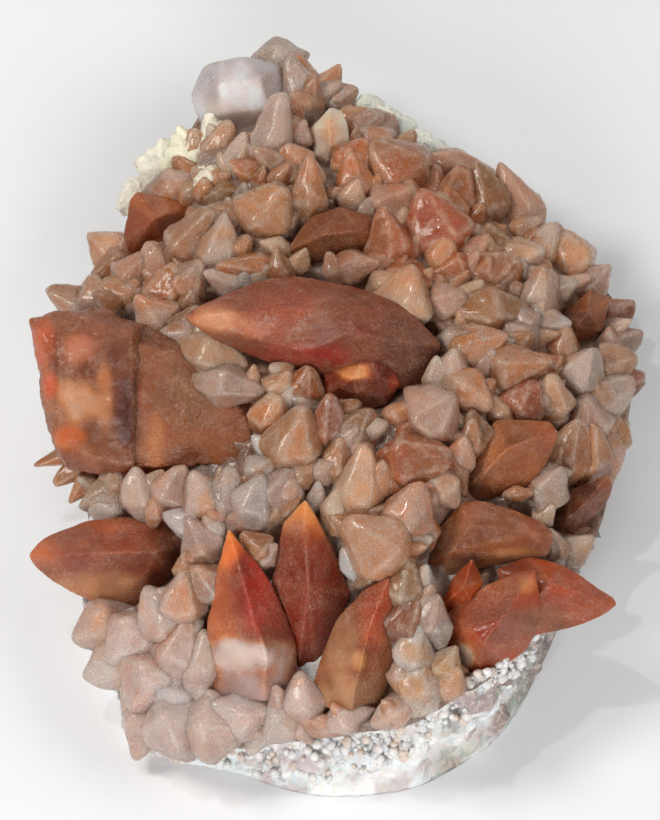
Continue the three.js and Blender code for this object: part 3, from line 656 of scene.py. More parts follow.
# The crystals at the right front corner: a blunt amber one, a dogtooth that points out to the
# right and a small olive one, all of calcite and grown into each other and the crust.
large_crystal(
    "corner_crystals", amber_material, (30, -27), 2.0, "a85c2c",
    bodies=[[
        (18, -27.5, 1), (23.8, -23.2, 2), (29, -20.7, 3), (32.3, -20.2, 4.5), (33.4, -26.8, 2),
        (32.7, -30.5, 1), (31.4, -33.3, 0), (28.3, -35.8, 0), (23.2, -37.8, 0), (20.8, -36.8, 0),
        (18.4, -33.7, 0), (17.3, -29.4, 0), (27.5, -27.5, 8), (24, -32, 7.5), (21.5, -29.5, 6),
        (27, -27, -6), (22, -33, -6),
    ], [
        (46.3, -26, 0), (26.3, -20.2, -2), (31.5, -18.2, -2.5), (37.5, -19.4, -2), (42.5, -22.7, -1),
        (45.8, -24.9, -0.5), (44.3, -27.6, -0.5), (42, -28.6, -1), (38.3, -29.6, -2), (34.5, -31, -3),
        (29.5, -31.5, -4), (35.3, -22.4, 2.6), (40.2, -24, 1.6), (31, -27, 1), (34, -24.5, -8),
        (40, -26, -4),
    ], [
        (22.3, -18.4, 2), (19, -21.5, 1), (17, -26.5, 0), (24, -22, 1), (23.5, -28, 0), (20.8, -23, 4.5),
        (20, -29, -5),
    ]],
    washes=[
        (26.5, -28.5, 4, 4, "8e4026", 0.6), (31, -22.5, 1.6, 1.5, "e0c4a4", 0.5),
        (20.5, -34.6, 2.2, 2.6, "e2d2c4", 0.85), (26, -22.5, 5, 1.6, "b4743e", 0.5),
        (40, -23.5, 6, 3, "aa4c24", 0.6), (35, -28.5, 4.5, 2.4, "a07e6e", 0.75),
        (45, -26, 2, 1.2, "b4703e", 0.6),
    ],
)


# The glossy amber crystal at the right: a stubby calcite crystal, half sunk in the crust that it
# grew with.
large_crystal(
    "amber_crystal", amber_material, (28.5, -2), 1.0, "a47252",
    bodies=[[
        (20.8, -7.5, -1), (20.6, -4, -1), (22.6, -1.2, 0), (26.3, 4.2, 0), (30, 4.3, 0.5),
        (35.3, 4.3, 1.5), (36.8, 2.6, 2), (36.5, 0.6, 1), (35.3, -2, 0), (33.2, -4.9, 0),
        (30.7, -7.1, -0.5), (27, -8.4, -1), (23.2, -8.6, -1), (28.2, -0.4, 5.6), (33, 1.6, 4.8),
        (24.2, -4.6, 4.6), (28, -2, -6),
    ]],
    washes=[
        (35, 2, 2.6, 2.6, "b06a38", 0.8), (22, -5, 2.6, 3.4, "80645a", 0.7),
        (27, -1, 4, 3, "a87e66", 0.4),
    ],
)


# The amber horn at the right edge: a curved calcite crystal, grown out over the edge of the rock
# and fast to the crust.
large_crystal(
    "edge_crystal", amber_material, (41, -10), 1.0, "7d4d2e",
    bodies=[[
        (45.3, -4.6, 2.5), (46.3, -6.3, 1.5), (45.6, -8.5, 0.5), (43.7, -11.3, 0), (41.7, -12.7, 0),
        (39.5, -14.6, 0), (37.7, -14.6, 0), (36.2, -13.7, 0), (35.4, -12.2, 0), (37.4, -9.6, 0.5),
        (39.2, -7, 1), (43, -6, 1.8), (41.4, -9.6, 4), (38.6, -12, 3.2), (41, -10, -6),
    ]],
    washes=[
        (45, -6.5, 1.6, 2, "a2683c", 0.6),
    ], fineness=5,
)


# The wide brown crystal above the corner: calcite with pale frosted lower rims, lying in the crust
# that holds it.
large_crystal(
    "brown_crystal", amber_material, (24, -15), -0.5, "a27054",
    bodies=[[
        (20.3, -9.2, 0), (24.7, -9.1, 0), (29.5, -10.4, 0), (34.5, -13, 0), (35.9, -14.6, 0),
        (34.8, -18, 0), (23.5, -18.8, 0), (17.2, -21.6, -1), (13.2, -20, -1), (15.7, -14.8, -1),
        (22, -12.8, 4.4), (32, -14.2, 3.4), (19, -17.2, 3.8), (24, -15, -6),
    ]],
    washes=[
        (33, -14, 3, 3, "9c6038", 0.7), (20, -20.3, 4, 1.2, "ccb098", 0.6),
        (30, -17.6, 4, 1, "d4b49a", 0.6), (17, -17, 3, 3, "805a44", 0.5),
    ],
)


# The largest crystal, an orange-red calcite dogtooth that points left with a silvery facet at its
# tip, and the red one that grew into its lower side. Both are fast to the crust.
large_crystal(
    "central_crystals", red_material, (-5, 19), 3.0, "8e4a2e",
    bodies=[[
        (-25.6, 21.3, 4), (-22.3, 23.8, 2), (-17.3, 25.8, 0), (-11.7, 27.8, -1), (-6, 28.2, -1),
        (-0.2, 27.2, -1), (7, 25.4, -1), (-23.5, 20, 3), (-20.3, 17.6, 2), (-16, 15.6, 1),
        (-10.2, 14, 1), (-6, 12.6, 1), (-2.4, 11.6, 0), (-12, 22.4, 7), (-4.4, 22.8, 8.6),
        (-0.8, 23.4, 8.8), (2.3, 18.3, 8.6), (-6, 15.8, 7.2), (-15.5, 18.2, 5.6), (12.6, 22.5, 0),
        (17.6, 17, 0), (14.6, 10, -2), (6, 8.6, 0), (12, 17, 4), (-8, 20, -8), (8, 17, -9),
    ], [
        (10.3, 10.3, 2), (8.5, 14.5, 2), (5, 16, 3), (-1.8, 13.5, 2), (-1.8, 8.4, 2), (4, 5.7, 1.5),
        (8.2, 6.8, 1.5), (3, 11.2, 7.6), (6.8, 11.2, 6.4), (3, 10, -7),
    ]],
    washes=[
        (-19.6, 20.8, 4.2, 2.6, "dcb8a8", 0.85), (-14, 19.6, 3, 2, "c0886e", 0.6),
        (-9, 23.5, 7, 3.5, "a04c1e", 0.85), (-4, 27, 9, 1.6, "96522e", 0.5),
        (-1, 20, 3.6, 4, "865040", 0.7), (-7, 15, 9, 1.8, "b03018", 0.95),
        (-3, 13.5, 3, 1.4, "8e2e20", 0.6), (12, 17, 6, 6, "6a3a28", 0.85),
        (3, 12.2, 2.6, 1.3, "f0c09c", 0.9), (7.3, 10.8, 1.6, 4.5, "7c2226", 0.7),
        (9.6, 10.3, 1, 1.4, "b0503c", 0.6),
    ],
)


# The brown-orange dogtooth that points out of the left side: calcite, paler along its lower flank,
# grown fast to the crust.
large_crystal(
    "left_dogtooth", red_material, (-36, -18), 2.0, "94502f",
    bodies=[[
        (-50.9, -18.1, 1), (-49.2, -15.6, 0), (-46.2, -14.2, 0), (-42, -12.3, -0.5), (-36, -11.9, -1),
        (-27.8, -12.3, -2), (-25.2, -14, -2), (-23.2, -15.8, -2.5), (-49.8, -20.3, 0), (-47, -22.3, 0),
        (-43.7, -24.5, -0.5), (-40.8, -25.8, -1), (-33.5, -26.4, -2), (-26.8, -22.8, -3), (-46, -18, 4),
        (-38, -17.6, 6.6), (-30, -17.4, 5.6), (-37, -19, -6.5), (-28, -18, -9),
    ]],
    washes=[
        (-48.5, -18, 3.4, 2.6, "c88458", 0.9), (-42, -17, 6, 4, "9c4e2c", 0.6),
        (-27, -15.5, 5, 4, "6e3e2c", 0.8), (-40, -23.4, 9, 2.6, "c8a898", 0.85),
        (-38, -13.3, 10, 1, "b0704c", 0.5),
    ],
)


# The cleaved block at the left: a big broken calcite crystal in two steps, orange with pale veins
# at its outer end and brown and rough where it runs into the crust.
large_crystal(
    "cleaved_block", red_material, (-32, 8), 1.0, "926044",
    bodies=[[
        (-51.4, 21.2, 1), (-48, 22.5, 0), (-38.4, 22.5, 0), (-31, 20.4, 0), (-50.3, 14.5, 1),
        (-48.4, 8.8, 0), (-48, 2.6, -1), (-45, -4.6, -2), (-31, -4.8, -1), (-49, 19, 4), (-34, 19.2, 7),
        (-45.5, 14, 6.4), (-46.5, 0.4, 3.6), (-33.6, -3.6, 5.6), (-46, 20, -5), (-32, 19, -6),
        (-44, -2, -6), (-32, -3, -7),
    ], [
        (-40, 20.6, 0), (-33, 20.8, 1), (-22.6, 16.8, 1), (-16, 11.8, 0), (-12.2, 4.2, 2),
        (-12.6, -3.6, 2), (-17, -5.2, -1), (-40, -4.9, -1), (-38, 18, 5), (-24, 14.4, 5),
        (-14.4, 3.6, 5.8), (-14.6, -3.6, 5.4), (-38, -3.6, 4.2), (-30, 10, -8), (-18, 2, -8),
    ]],
    washes=[
        (-48.5, 17, 2, 4, "c46c2c", 0.95), (-42.5, 16, 3.6, 2.6, "d09a90", 0.9),
        (-38, 20, 6, 1.6, "8a4a2c", 0.7), (-43.5, 7.5, 4.2, 3.8, "f0c8ae", 0.95),
        (-47.6, 10, 1.4, 2.4, "dc7430", 0.9), (-44.5, 1.5, 2.6, 2.4, "dc8c50", 0.85),
        (-38.5, 9, 1.3, 6.5, "dcb09a", 0.75), (-41, -1.5, 5, 2, "a8765a", 0.8),
        (-34.6, 5, 1.7, 6.5, "6c2a1a", 0.95), (-25, 9, 6, 6, "84644c", 0.9),
        (-30, 1, 1.6, 5, "c49a7c", 0.6), (-19, 0, 5, 4, "a4714c", 0.8),
        (-26, -4.2, 14, 0.9, "b0602c", 0.8),
    ], relief=0.75, fineness=7,
)


# The tan-orange diamond at the upper left: a calcite crystal seen end on, grown fast to the crust.
# Its faces are plain and a little frosted.
large_crystal(
    "diamond_crystal", amber_material, (-31, 38), 1.0, "a56a46",
    bodies=[[
        (-34, 43.3, 0), (-35.4, 42, 0), (-36.4, 34.3, 0), (-35, 32.8, 0), (-32.7, 33.8, 0),
        (-29.4, 34.2, 0), (-27.5, 36.3, 0), (-25.2, 39.7, 0.5), (-25.7, 41.4, 0.5), (-29.5, 42.8, 0.5),
        (-31, 38.6, 3.8), (-28.5, 39.5, 3), (-31, 38, -5),
    ]],
    washes=[
        (-34, 36, 3, 3, "96583a", 0.4), (-27.5, 40.5, 3, 2, "b8886c", 0.5),
    ], fineness=5,
)


# The brown leaf-shaped crystal above the central one: calcite, lying in the crust that holds it,
# paler at its left end.
large_crystal(
    "upper_brown_crystal", amber_material, (0, 35), 1.0, "97694e",
    bodies=[[
        (-8.5, 32.6, 1), (-6, 36.5, 0), (-4.3, 38.7, 0), (0.7, 40.3, 0), (5.7, 38.7, 0), (8.4, 35.2, 0),
        (5.6, 32.4, 0), (2, 31.4, 0), (-4.3, 30.7, 0), (-2, 35.4, 4.8), (4, 36, 4.8), (0, 35, -6),
    ]],
    washes=[
        (5, 36, 3, 3, "8a5438", 0.5), (-6, 33, 2.5, 2, "b08e78", 0.5),
    ], fineness=5,
)


# The small cream crystal near the top: calcite with an amber heart, standing in the crust that it
# grew with.
large_crystal(
    "upper_amber_crystal", amber_material, (-1, 53), 1.5, "ecd8c4",
    bodies=[[
        (-1, 57.9, 1), (1, 57.4, 1), (2.2, 55, 1), (2.2, 51, 1), (0.6, 48.4, 0.5), (-1.5, 47.4, 0.5),
        (-4, 49, 0.5), (-4.6, 54, 0.5), (-1.2, 54, 4.4), (-1, 51, 4.2), (-1, 53, -6),
    ]],
    washes=[
        (-1, 53.5, 1.3, 2.6, "d08c50", 0.5),
    ], fineness=5, power=1.0, cast=(1.3, 1.16, 0.98),
)


# The amber crystal near the right edge: a small calcite crystal, paler at its outer corner, grown
# fast to the crust.
large_crystal(
    "right_amber_crystal", amber_material, (42, 21.5), 1.0, "885c3c",
    bodies=[[
        (46.4, 25.2, 1), (43, 26.5, 0.5), (38.3, 22.5, 0), (37.1, 19, 0), (40, 17, 0), (45, 19.5, 0.5),
        (42.4, 22.6, 4), (40.6, 20, 3.4), (42, 22, -6),
    ]],
    washes=[
        (44.5, 24.5, 2.4, 2, "aa8468", 0.5),
    ], fineness=5,
)


# The clear crystal at the top: cleaved calcite with white planes inside, grown fast to the crust.
# Light passes through it, so it looks lilac-grey.
clear_material = mineral("clear calcite", grain=1200, mottle=0.3, painted_glint_amount=0.4, relief=0.5, milk=0.8,
    depth=6.0, clearness=0.35, index=1.5, gloss=0.3)
large_crystal(
    "clear_crystal", clear_material, (-16.5, 60), 1.0, "e4dee4",
    bodies=[[
        (-24.2, 60, 0), (-22, 65, 0), (-16.4, 66.6, 0), (-10.5, 65, 0), (-9.3, 60, 0), (-11, 55, 0),
        (-17, 54, 0), (-22.6, 56, 0), (-19.6, 62, 4.4), (-13.4, 62.4, 4.6), (-12.4, 58, 4.4),
        (-19, 57.4, 4.4), (-16, 60, -6),
    ]],
    washes=[
        (-19.5, 62.5, 0.7, 4.5, "ffffff", 0.7), (-14, 59.5, 1, 2.4, "ffffff", 0.6),
        (-21, 57.5, 2.5, 1, "fff4f0", 0.6), (-13, 63, 2.4, 1.6, "b8a4a4", 0.5),
    ], grow=1.14, power=0.9, fineness=5, cast=(1.1, 1.1, 1.16),
)


# The crust's bed: the fine-grained calcite between the small crystals, grown fast to the rock and lapping
# over its edge. It shows only in the gaps, and its brown and mauve tint is painted shade there.
# The bed dips under the large crystals, so that they stand clear of it.
BED_AROUND = 300
BED_DIP = 5.0
BED_SHARES = np.concatenate([np.linspace(0.03, 0.9, 60), np.linspace(0.915, 1.0, 8)])
OUTLINE_WAYS = np.stack([np.cos(np.linspace(0, 2 * math.pi, 48)), np.sin(np.linspace(0, 2 * math.pi, 48))])


def outline(body):
    """A body's middle on the face and its reach in each of the outline's ways."""
    p = np.array([q[:2] for q in body], dtype=float)
    middle = p.mean(axis=0)
    return middle, ((p - middle) @ OUTLINE_WAYS).max(axis=0)


def over_large(across, up, margin):
    """Whether a place on the face lies over a large crystal, drawn in by a margin."""
    here = np.array([across, up])
    return any(((here - middle) @ OUTLINE_WAYS < reach - margin).all() for middle, reach in outlines)


def face_places(points):
    """Across and up the common face of points in the part's frame."""
    return points[:, 0] + CENTRE[0], (points + CENTRE) @ FACE_UP


def crystal_bed():
    """The bed's points and faces, its lip turned down over the rock's edge."""
    angle = np.arange(BED_AROUND) / BED_AROUND * 2 * math.pi
    radius = rim_at(angle)[0]
    rows = []
    for share in BED_SHARES[::-1]:
        x = radius * share * np.cos(angle)
        y = radius * share * np.sin(angle)
        rows.append(np.stack([x, y, crust_height(x, y)], axis=1))
    lip = rows[0] * (1.012, 1.012, 1) - (0, 0, 1.4)
    tuck = rows[0] * (0.97, 0.97, 1) - (0, 0, 3.2)
    points = np.vstack([tuck, lip, *rows])
    faces = ring_faces(len(rows) + 2, BED_AROUND)
    return points, faces


bed_points, bed_faces = crystal_bed()
bed_points[:, 2] += rough(bed_points, 0.5, 40, 3) * 1.8 + 1.0
# Painted shade: the bed's brown and mauve tint stands for the shadow in the gaps between the crystals.
bed_shade_tint = np.tile(colour("b8866a"), (len(bed_points), 1))
bed_shade_tint = blend(bed_shade_tint, colour("a58678"), steps_between(0.4, 0.7, noise(bed_points, 0.12, 44)))
outlines = [outline(body) for _, bodies in large_crystals for body in bodies]
bed_points = bed_points - CENTRE
bed_across, bed_up = face_places(bed_points)
for middle, reach in outlines:
    off = np.stack([bed_across, bed_up], axis=1) - middle
    depth = (reach - off @ OUTLINE_WAYS).min(axis=1)
    bed_points = bed_points - FACE_OUT * (BED_DIP * steps_between(-2.0, 1.0, depth))[:, None]
crust = Cluster()
crust.add(bed_points, bed_faces, bed_shade_tint, np.full(len(bed_points), 0.8))


# The small crystals of the crust: stubby, rounded dogteeth and rhombs of translucent calcite, grey, mauve,
# peach and tan, frosted on their rims and grown into each other on the bed.
# Each row: across and up the face (mm), length, width, the way the tip points in the face (degrees, 0 right,
# 90 up), how far the tip leans out of the face (degrees), and the tint.
SMALL = (
    # Along the top
    (-9.7, 67.2, 8, 5.5, 5, 10, "grey"), (-5.7, 60.5, 11, 5, 110, 15, "grey"),
    (-4.8, 59.5, 7, 4.5, 75, 40, "peach"), (-1.7, 62, 7, 4, 60, 20, "mauve"),
    (0.3, 59.7, 6, 4.5, 30, 20, "mauve"), (-11.2, 51, 15, 6, 80, 15, "grey"),
    (-6.3, 52.7, 5, 3.4, 70, 40, "mauve"), (-6.7, 48.3, 5.5, 4.5, 120, 40, "peach"),
    (-7.7, 45.3, 5, 3.6, 100, 40, "peach"), (-4.7, 41.3, 12, 5.4, 85, 20, "tan"),
    (-11.8, 39.3, 9, 7.4, 60, 45, "tan"), (3, 44.2, 8.5, 5, 100, 30, "peach"),
    (3.2, 48.2, 7.5, 6, 60, 25, "amber"), (4.7, 54.2, 7, 5.4, 45, 30, "mauve"),
    (7.2, 51, 6.6, 5.4, 135, 30, "mauve"), (20.3, 48, 11.5, 5, 170, 20, "mauve"),
    (25.3, 41.3, 11, 7, 100, 25, "olive"), (26, 33.8, 6, 5, 0, 45, "olive"),
    (27.8, 29, 6.5, 6, 40, 50, "tan"), (31.5, 39.5, 13.5, 6.5, 115, 15, "mauve"),
    (17.3, 31.2, 4, 3.4, 160, 60, "cream"), (-16.3, 48.2, 8, 5, 80, 25, "grey"),
    (-18.3, 37.8, 7.5, 6, 150, 35, "peach"), (-19.8, 32.3, 10, 6, 80, 25, "grey"),
    (-25.3, 33.5, 13.5, 6.6, 55, 25, "tan"), (-19, 42.3, 6, 4, 10, 35, "olive"),
    (-13.2, 29.3, 11, 4.6, 175, 30, "amber"), (-27.7, 44, 9.5, 6, 20, 15, "mauve"),
    (-22.7, 46, 5.5, 3.6, 30, 30, "red"), (-19, 45.4, 4.5, 3.4, 160, 40, "peach"),
    # The red-orange cluster at the upper right
    (20.3, 42.2, 9.5, 6.4, 80, 30, "amber"), (17, 35.5, 12, 8.6, 110, 25, "red"),
    (9.2, 32.7, 12, 6.6, 100, 30, "amber"), (2.7, 30, 8, 4.8, 10, 45, "mauve"),
    (10.2, 40.7, 7, 6.4, 50, 50, "mauve"), (10.7, 46, 11, 8.6, 130, 25, "tan"),
    (16, 43.5, 7, 5, 70, 35, "tan"), (20, 29.5, 7, 5, 200, 40, "amber"),
    (12, 27, 7.5, 6, 250, 45, "amber"), (35, 33.5, 7.5, 5.5, 60, 25, "grey"),
    # Below and around the central crystal
    (-21.3, 15.2, 11.5, 6.8, -15, 30, "peach"), (-18, 10, 11, 5.6, -10, 30, "mauve"),
    (-9.2, 9.7, 5.5, 4.6, 60, 50, "peach"), (-5.2, 9.7, 6, 4.8, 80, 45, "amber"),
    (-10.8, 4.8, 7, 5.2, 75, 45, "peach"), (11.2, 23.5, 10, 7.4, 80, 35, "cream"),
    (18, 24, 7, 5, 20, 40, "mauve"), (22.8, 16.3, 9.5, 5.6, 20, 30, "peach"),
    (28.7, 13.3, 10.5, 6.6, 10, 30, "tan"), (16.7, 11.2, 6, 3.8, 90, 45, "grey"),
    (21.2, 9.3, 9, 6, -40, 35, "peach"), (15.8, 5, 8.6, 7.6, 45, 45, "mauve"),
    (31, 7.2, 7, 5.6, 60, 40, "red"), (35.3, 13, 5, 3.8, 30, 50, "amber"),
    (33.8, 24.5, 9, 5.2, 80, 30, "grey"), (40.2, 31.2, 9, 6.6, 110, 20, "peach"),
    (43.6, 27.7, 6.4, 5, 40, 25, "mauve"), (41, 11.8, 8.6, 6.4, 60, 35, "grey"),
    (45, 7.5, 9.5, 6.4, 30, 15, "grey"), (42.5, 3.6, 8, 5.8, 100, 30, "mauve"),
    (46.4, 13, 7.5, 6, 20, 15, "peach"), (47, 1.4, 5.4, 4.2, 70, 25, "cream"),
    (25.7, 22.8, 12, 7, 175, 25, "olive"), (3.8, -7.8, 12.5, 6.6, 82, 30, "cream"),
    (7, -16.8, 11.5, 8.6, 140, 35, "peach"), (11.8, -11.5, 9.6, 7, 70, 40, "mauve"),
    (14.2, -8.8, 5.5, 3.6, 60, 60, "amber"), (12, -2.7, 11.5, 7.6, 10, 30, "amber"),
    (-1.5, 3.2, 9.5, 5.6, 85, 35, "red"), (-7, 0.3, 10.5, 8, 80, 35, "tan"),
    (3.6, 2.2, 7, 5, 60, 30, "tan"), (17.5, -6.5, 7, 5, 120, 40, "grey"),
    (31, 18.5, 7, 5, 150, 40, "mauve"), (38.2, 16.5, 7, 4.6, 80, 35, "tan"),
    # Between the front crystals
    (11.3, -23.2, 8, 5.6, 80, 35, "olive"), (11.3, -29, 8, 5.4, 70, 35, "red"),
    (12.7, -34, 8.5, 5.6, 80, 35, "grey"), (15.4, -28.6, 7.5, 5, 80, 40, "mauve"),
    (13.6, -39, 8.5, 5.6, 85, 25, "grey"), (17.5, -36, 6, 4.4, 60, 30, "cream"),
    (-5, -42, 8, 5.4, 100, 20, "mauve"), (-14.3, -44.5, 10, 6.6, 160, 25, "mauve"),
    (-8.6, -45, 8, 5.4, 40, 25, "grey"), (1.5, -44.6, 8, 4.6, 20, 20, "mauve"),
    (9.5, -43.4, 7, 4.4, 30, 20, "mauve"),
    # Lower left
    (-38.5, -29.8, 9.5, 7, 200, 20, "mauve"), (-33.5, -31.5, 10, 7.4, 225, 30, "mauve"),
    (-28.5, -28.2, 9.4, 7, 120, 35, "mauve"), (-36, -35.7, 9.4, 7, 210, 20, "grey"),
    (-31, -38.2, 9.6, 7.6, 240, 30, "mauve"), (-25.2, -25.7, 8.6, 6.4, 90, 35, "mauve"),
    (-26, -34, 10.5, 6.4, 75, 35, "peach"), (-22.5, -36.5, 10, 5.4, 80, 30, "peach"),
    (-31.5, -46, 10, 6.4, 70, 25, "peach"), (-26, -46, 10.5, 8.4, 20, 20, "mauve"),
    (-20.2, -46.5, 9.5, 8, 0, 25, "peach"), (-27.4, -41.4, 8, 6, 130, 30, "grey"),
    # Between the left dogtooth and the cleaved block
    (-21.8, -9, 8.6, 6, 110, 35, "grey"), (-18, -8.4, 8.6, 5.4, 80, 30, "grey"),
    (-13.5, -9.8, 9.5, 6.4, 70, 30, "grey"), (-9.7, -7.6, 7.6, 5.4, 60, 35, "mauve"),
    (-12.3, -4.4, 6.4, 5, 40, 45, "grey"), (-38, -8.4, 8.4, 5.4, 200, 30, "cream"),
    (-32.5, -8.6, 8, 5.4, 100, 30, "grey"), (-27, -7.8, 7.6, 5.4, 70, 35, "mauve"),
    (-22, -16, 7.6, 5.6, 120, 35, "mauve"),
    # The left edge
    (-44.3, 24, 8.6, 5, 150, 15, "mauve"), (-40.8, 25, 6.6, 5, 90, 25, "mauve"),
    (-38.2, 24.5, 6, 4.6, 60, 35, "cream"), (-30.2, 21.6, 7.6, 6, 130, 35, "mauve"),
    (-38.9, 33.3, 7, 5.4, 140, 20, "peach"), (-37.3, 30, 7.4, 5.4, 200, 30, "tan"),
    (-33.8, 28.4, 7.6, 5.6, 60, 35, "mauve"), (-30, 30.4, 7.4, 5.4, 110, 35, "mauve"),
    (-35.6, 25.8, 7, 5.2, 160, 35, "peach"), (-28.5, 26, 7.6, 5.8, 80, 40, "tan"),
    (-24.8, 27, 7.4, 5.6, 60, 40, "mauve"), (-45.7, -1.6, 8, 2.8, 200, 15, "tan"),
    (-44, -4, 7, 2.8, 215, 20, "tan"), (-41.8, -6.2, 7, 3, 230, 20, "tan"),
    # The right edge
    (35.3, -7.5, 7.6, 5.4, 60, 40, "grey"), (34.3, -11.7, 4.4, 3, 50, 55, "cream"),
    (39, -1.5, 10, 6, 70, 30, "peach"), (42.3, -2.2, 10, 5.8, 85, 30, "peach"),
    (45.2, -1, 9, 4.8, 95, 20, "mauve"), (47.6, 22, 6, 4.4, 30, 15, "red"),
    (48.2, 17.6, 6, 4.4, 20, 20, "mauve"), (48.8, 10.5, 6.4, 4.4, 10, 15, "red"),
)
TINTS = {
    "grey": "d8ccc8", "mauve": "d2b4aa", "peach": "dcae8c", "tan": "c48e60", "amber": "be783a",
    "olive": "a07c4c", "red": "ac5c2e", "cream": "e8d2bc", "ice": "f0eef2",
}
FILL_TINTS = ("mauve", "grey", "peach", "cream", "tan", "ice", "amber", "tan", "mauve")
# How much fuller than its row a crystal is, and how far it stands out of the crust in its own widths.
PLUMP = 1.5
LIFT = 0.22
# How far apart the filling crystals and those along the rim are, how far a filling crystal may be off its
# place, how many places are tried for the smallest ones, and how near two of those may come.
FILL_STEP = 6.2
FILL_DRIFT = 3
RIM_STEP = 10.0
SEED_TRIES = 2200
SEED_GAP = 2.3
# How sharp the edges of a small crystal are.
SMALL_SOFTNESS = 15
# Broad changes over the crust: paler at the lower left and along the front, browner at the upper right, and
# deeper on the right side, where it is painted shade for the shadow between its crystals. Across, up, half
# width, half height, tint and strength.
REGION_TINTS_AND_SHADE = (
    (-34, -34, 14, 14, "ffffff", 1.0), (-10, -45, 26, 7, "ffffff", 1.0),
    (-24, -10, 18, 8, "ccc2c2", 0.8), (4, 47, 9, 5, "f0d4bc", 0.5), (18, 40, 16, 12, "e4b890", 0.7),
    # Painted shade: the row at across 36, up 8 deepens the crust on the right side.
    (8, 30, 14, 8, "e0b088", 0.5), (36, 8, 12, 20, "d4bcb0", 0.6), (14, -2, 12, 12, "e0b8a0", 0.5),
    (-30, 34, 9, 12, "e0b898", 0.5), (-12, 56, 12, 10, "f0e8e6", 0.7),
)


def random_from(seed):
    """The repeatable random numbers, 0 to 1, that the crystals' places come from."""
    state = [seed]

    def draw():
        state[0] = (state[0] * 16807) % 2147483647
        return state[0] / 2147483647

    return draw


def small_planes(length, width, draw):
    """Faces of a small dogtooth along +Z: three pairs to each end that meet in a zigzag girdle."""
    rows = []
    shift = draw() * 2
    slope = math.asin(min(0.42 * width / (0.53 * length), 0.9))
    for end in (1, -1):
        for i in range(3):
            for side in (-1, 1):
                angle = (i + 0.5 * (end < 0) + shift) / 3 * 2 * math.pi + side * (0.42 + 0.14 * draw())
                tilt = slope * (0.9 + 0.25 * draw()) * end
                away = width * (0.38 + 0.09 * draw())
                rows.append((angle, tilt, away))
        for _ in range(2):
            rows.append((draw() * 6.3, math.radians(50 + 25 * draw()) * end, length * (0.36 + 0.06 * draw())))
    angle, tilt, away = np.array(rows).T
    facing = np.stack([np.cos(angle) * np.cos(tilt), np.sin(angle) * np.cos(tilt), np.sin(tilt)], axis=1)
    return facing, away


def small_body(centre, tip, length, width, fineness, draw, softness=SMALL_SOFTNESS):
    """One small crystal with its tip turned to a direction."""
    spin = np.array(Vector((0, 0, 1)).rotation_difference(Vector(tip)).to_matrix())
    facing, away = small_planes(length, width, draw)
    reach = np.array([width, width, length])
    return soft_body(centre, facing @ spin.T, away, spin.T, reach, fineness, softness)


def crystal_row(row, draw, fineness, plump=PLUMP, lift=LIFT):
    """One small crystal laid on the crust."""
    across, up, length, width, turn, lean = row[:6]
    t = math.radians(turn)
    e = math.radians(lean * 0.6)
    tip = np.array([math.cos(t) * math.cos(e), 0, 0]) + FACE_UP * math.sin(t) * math.cos(e)
    tip = tip + FACE_OUT * math.sin(e)
    centre = from_face(across, up, on_crust(across, up) + lift * width)
    return small_body(centre, tip, length * plump * 1.1, width * plump * 0.98, fineness, draw)


def add_small(cluster, body, name, draw):
    """A small crystal: its tint shifted a little, painted shade deepening it toward its root and stepping
    each facet lighter or darker, and its rims paler, partly frost and partly a painted glow of light through
    the thin edges.
    """
    points, faces, edge, rays, facet = body
    middle = points.mean(axis=0)
    points = points + rays * (rough(points, 0.4, 70, 2) * 0.5)[:, None]
    base = colour(TINTS[name]) * (0.85 + 0.4 * draw())
    warm = 1 + 0.2 * (draw() - 0.5)
    base = base * (warm, 1, 2 - warm)
    base = base * 0.8 + colour("d2aa90") * 0.2
    amber = 0.15 + 0.8 * draw() ** 1.4
    height = (points - middle) @ FACE_OUT
    reach = np.abs(height).max()
    # Painted shade: each facet a step lighter or darker.
    tint = np.tile(base, (len(points), 1)) * (0.74 + 0.5 * facet)[:, None]
    # Painted shade: deeper brown toward the root, down among the crystals.
    painted_root_shade = steps_between(0.5, -0.7, height / reach)
    tint = blend(tint, base * (0.6, 0.45, 0.34), 0.85 * painted_root_shade)
    cloud = steps_between(0.4, 0.7, noise(points, 0.35, 60))
    tint = blend(tint, tint * (1.04, 0.68, 0.36), amber * cloud)
    veil = steps_between(0.5, 0.85, noise(points, 1.3, 66))
    tint = blend(tint, colour("e0d2cc"), 0.3 * veil)
    # The pale rims are partly frost and partly a painted glow of light through the thin edges.
    tint = blend(tint, colour("f4e8de"), 0.6 * edge)
    across, along = face_places(points)
    for a, b, wide, high, code, strength in REGION_TINTS_AND_SHADE:
        d = ((across - a) / wide) ** 2 + ((along - b) / high) ** 2
        tint = blend(tint, tint * colour(code) * 1.5, strength * np.exp(-d))
    pale = np.exp(-(((across + 24) / 22) ** 2 + ((along + 42) / 14) ** 2))
    tint = blend(tint, colour("e4dce6"), 0.7 * pale)
    tint = tint * (1.04, 0.99, 0.91)
    tint = tint * np.minimum(1, 0.9 / tint.max(axis=1))[:, None]
    cluster.add(points, faces, tint, np.clip(0.1 + 0.6 * edge + 0.5 * veil, 0, 1))


def large_places():
    """Places that the large crystals take, so that no crystal fills them: across, up and reach."""
    rows = []
    for at, bodies in large_crystals:
        for body in bodies:
            rows += [(p[0], p[1], 1.6) for p in body]
            rows += [((p[0] + at[0]) / 2, (p[1] + at[1]) / 2, 2.6) for p in body]
    return rows


def within_rim(across, up, share):
    """Whether a place on the face lies on the crust, within a share of the rim's radius."""
    y = up * FACE_UP[1] + float(on_crust(across, up)) * FACE_OUT[1]
    return math.hypot(across, y) < float(rim_at(math.atan2(y, across))[0]) * share


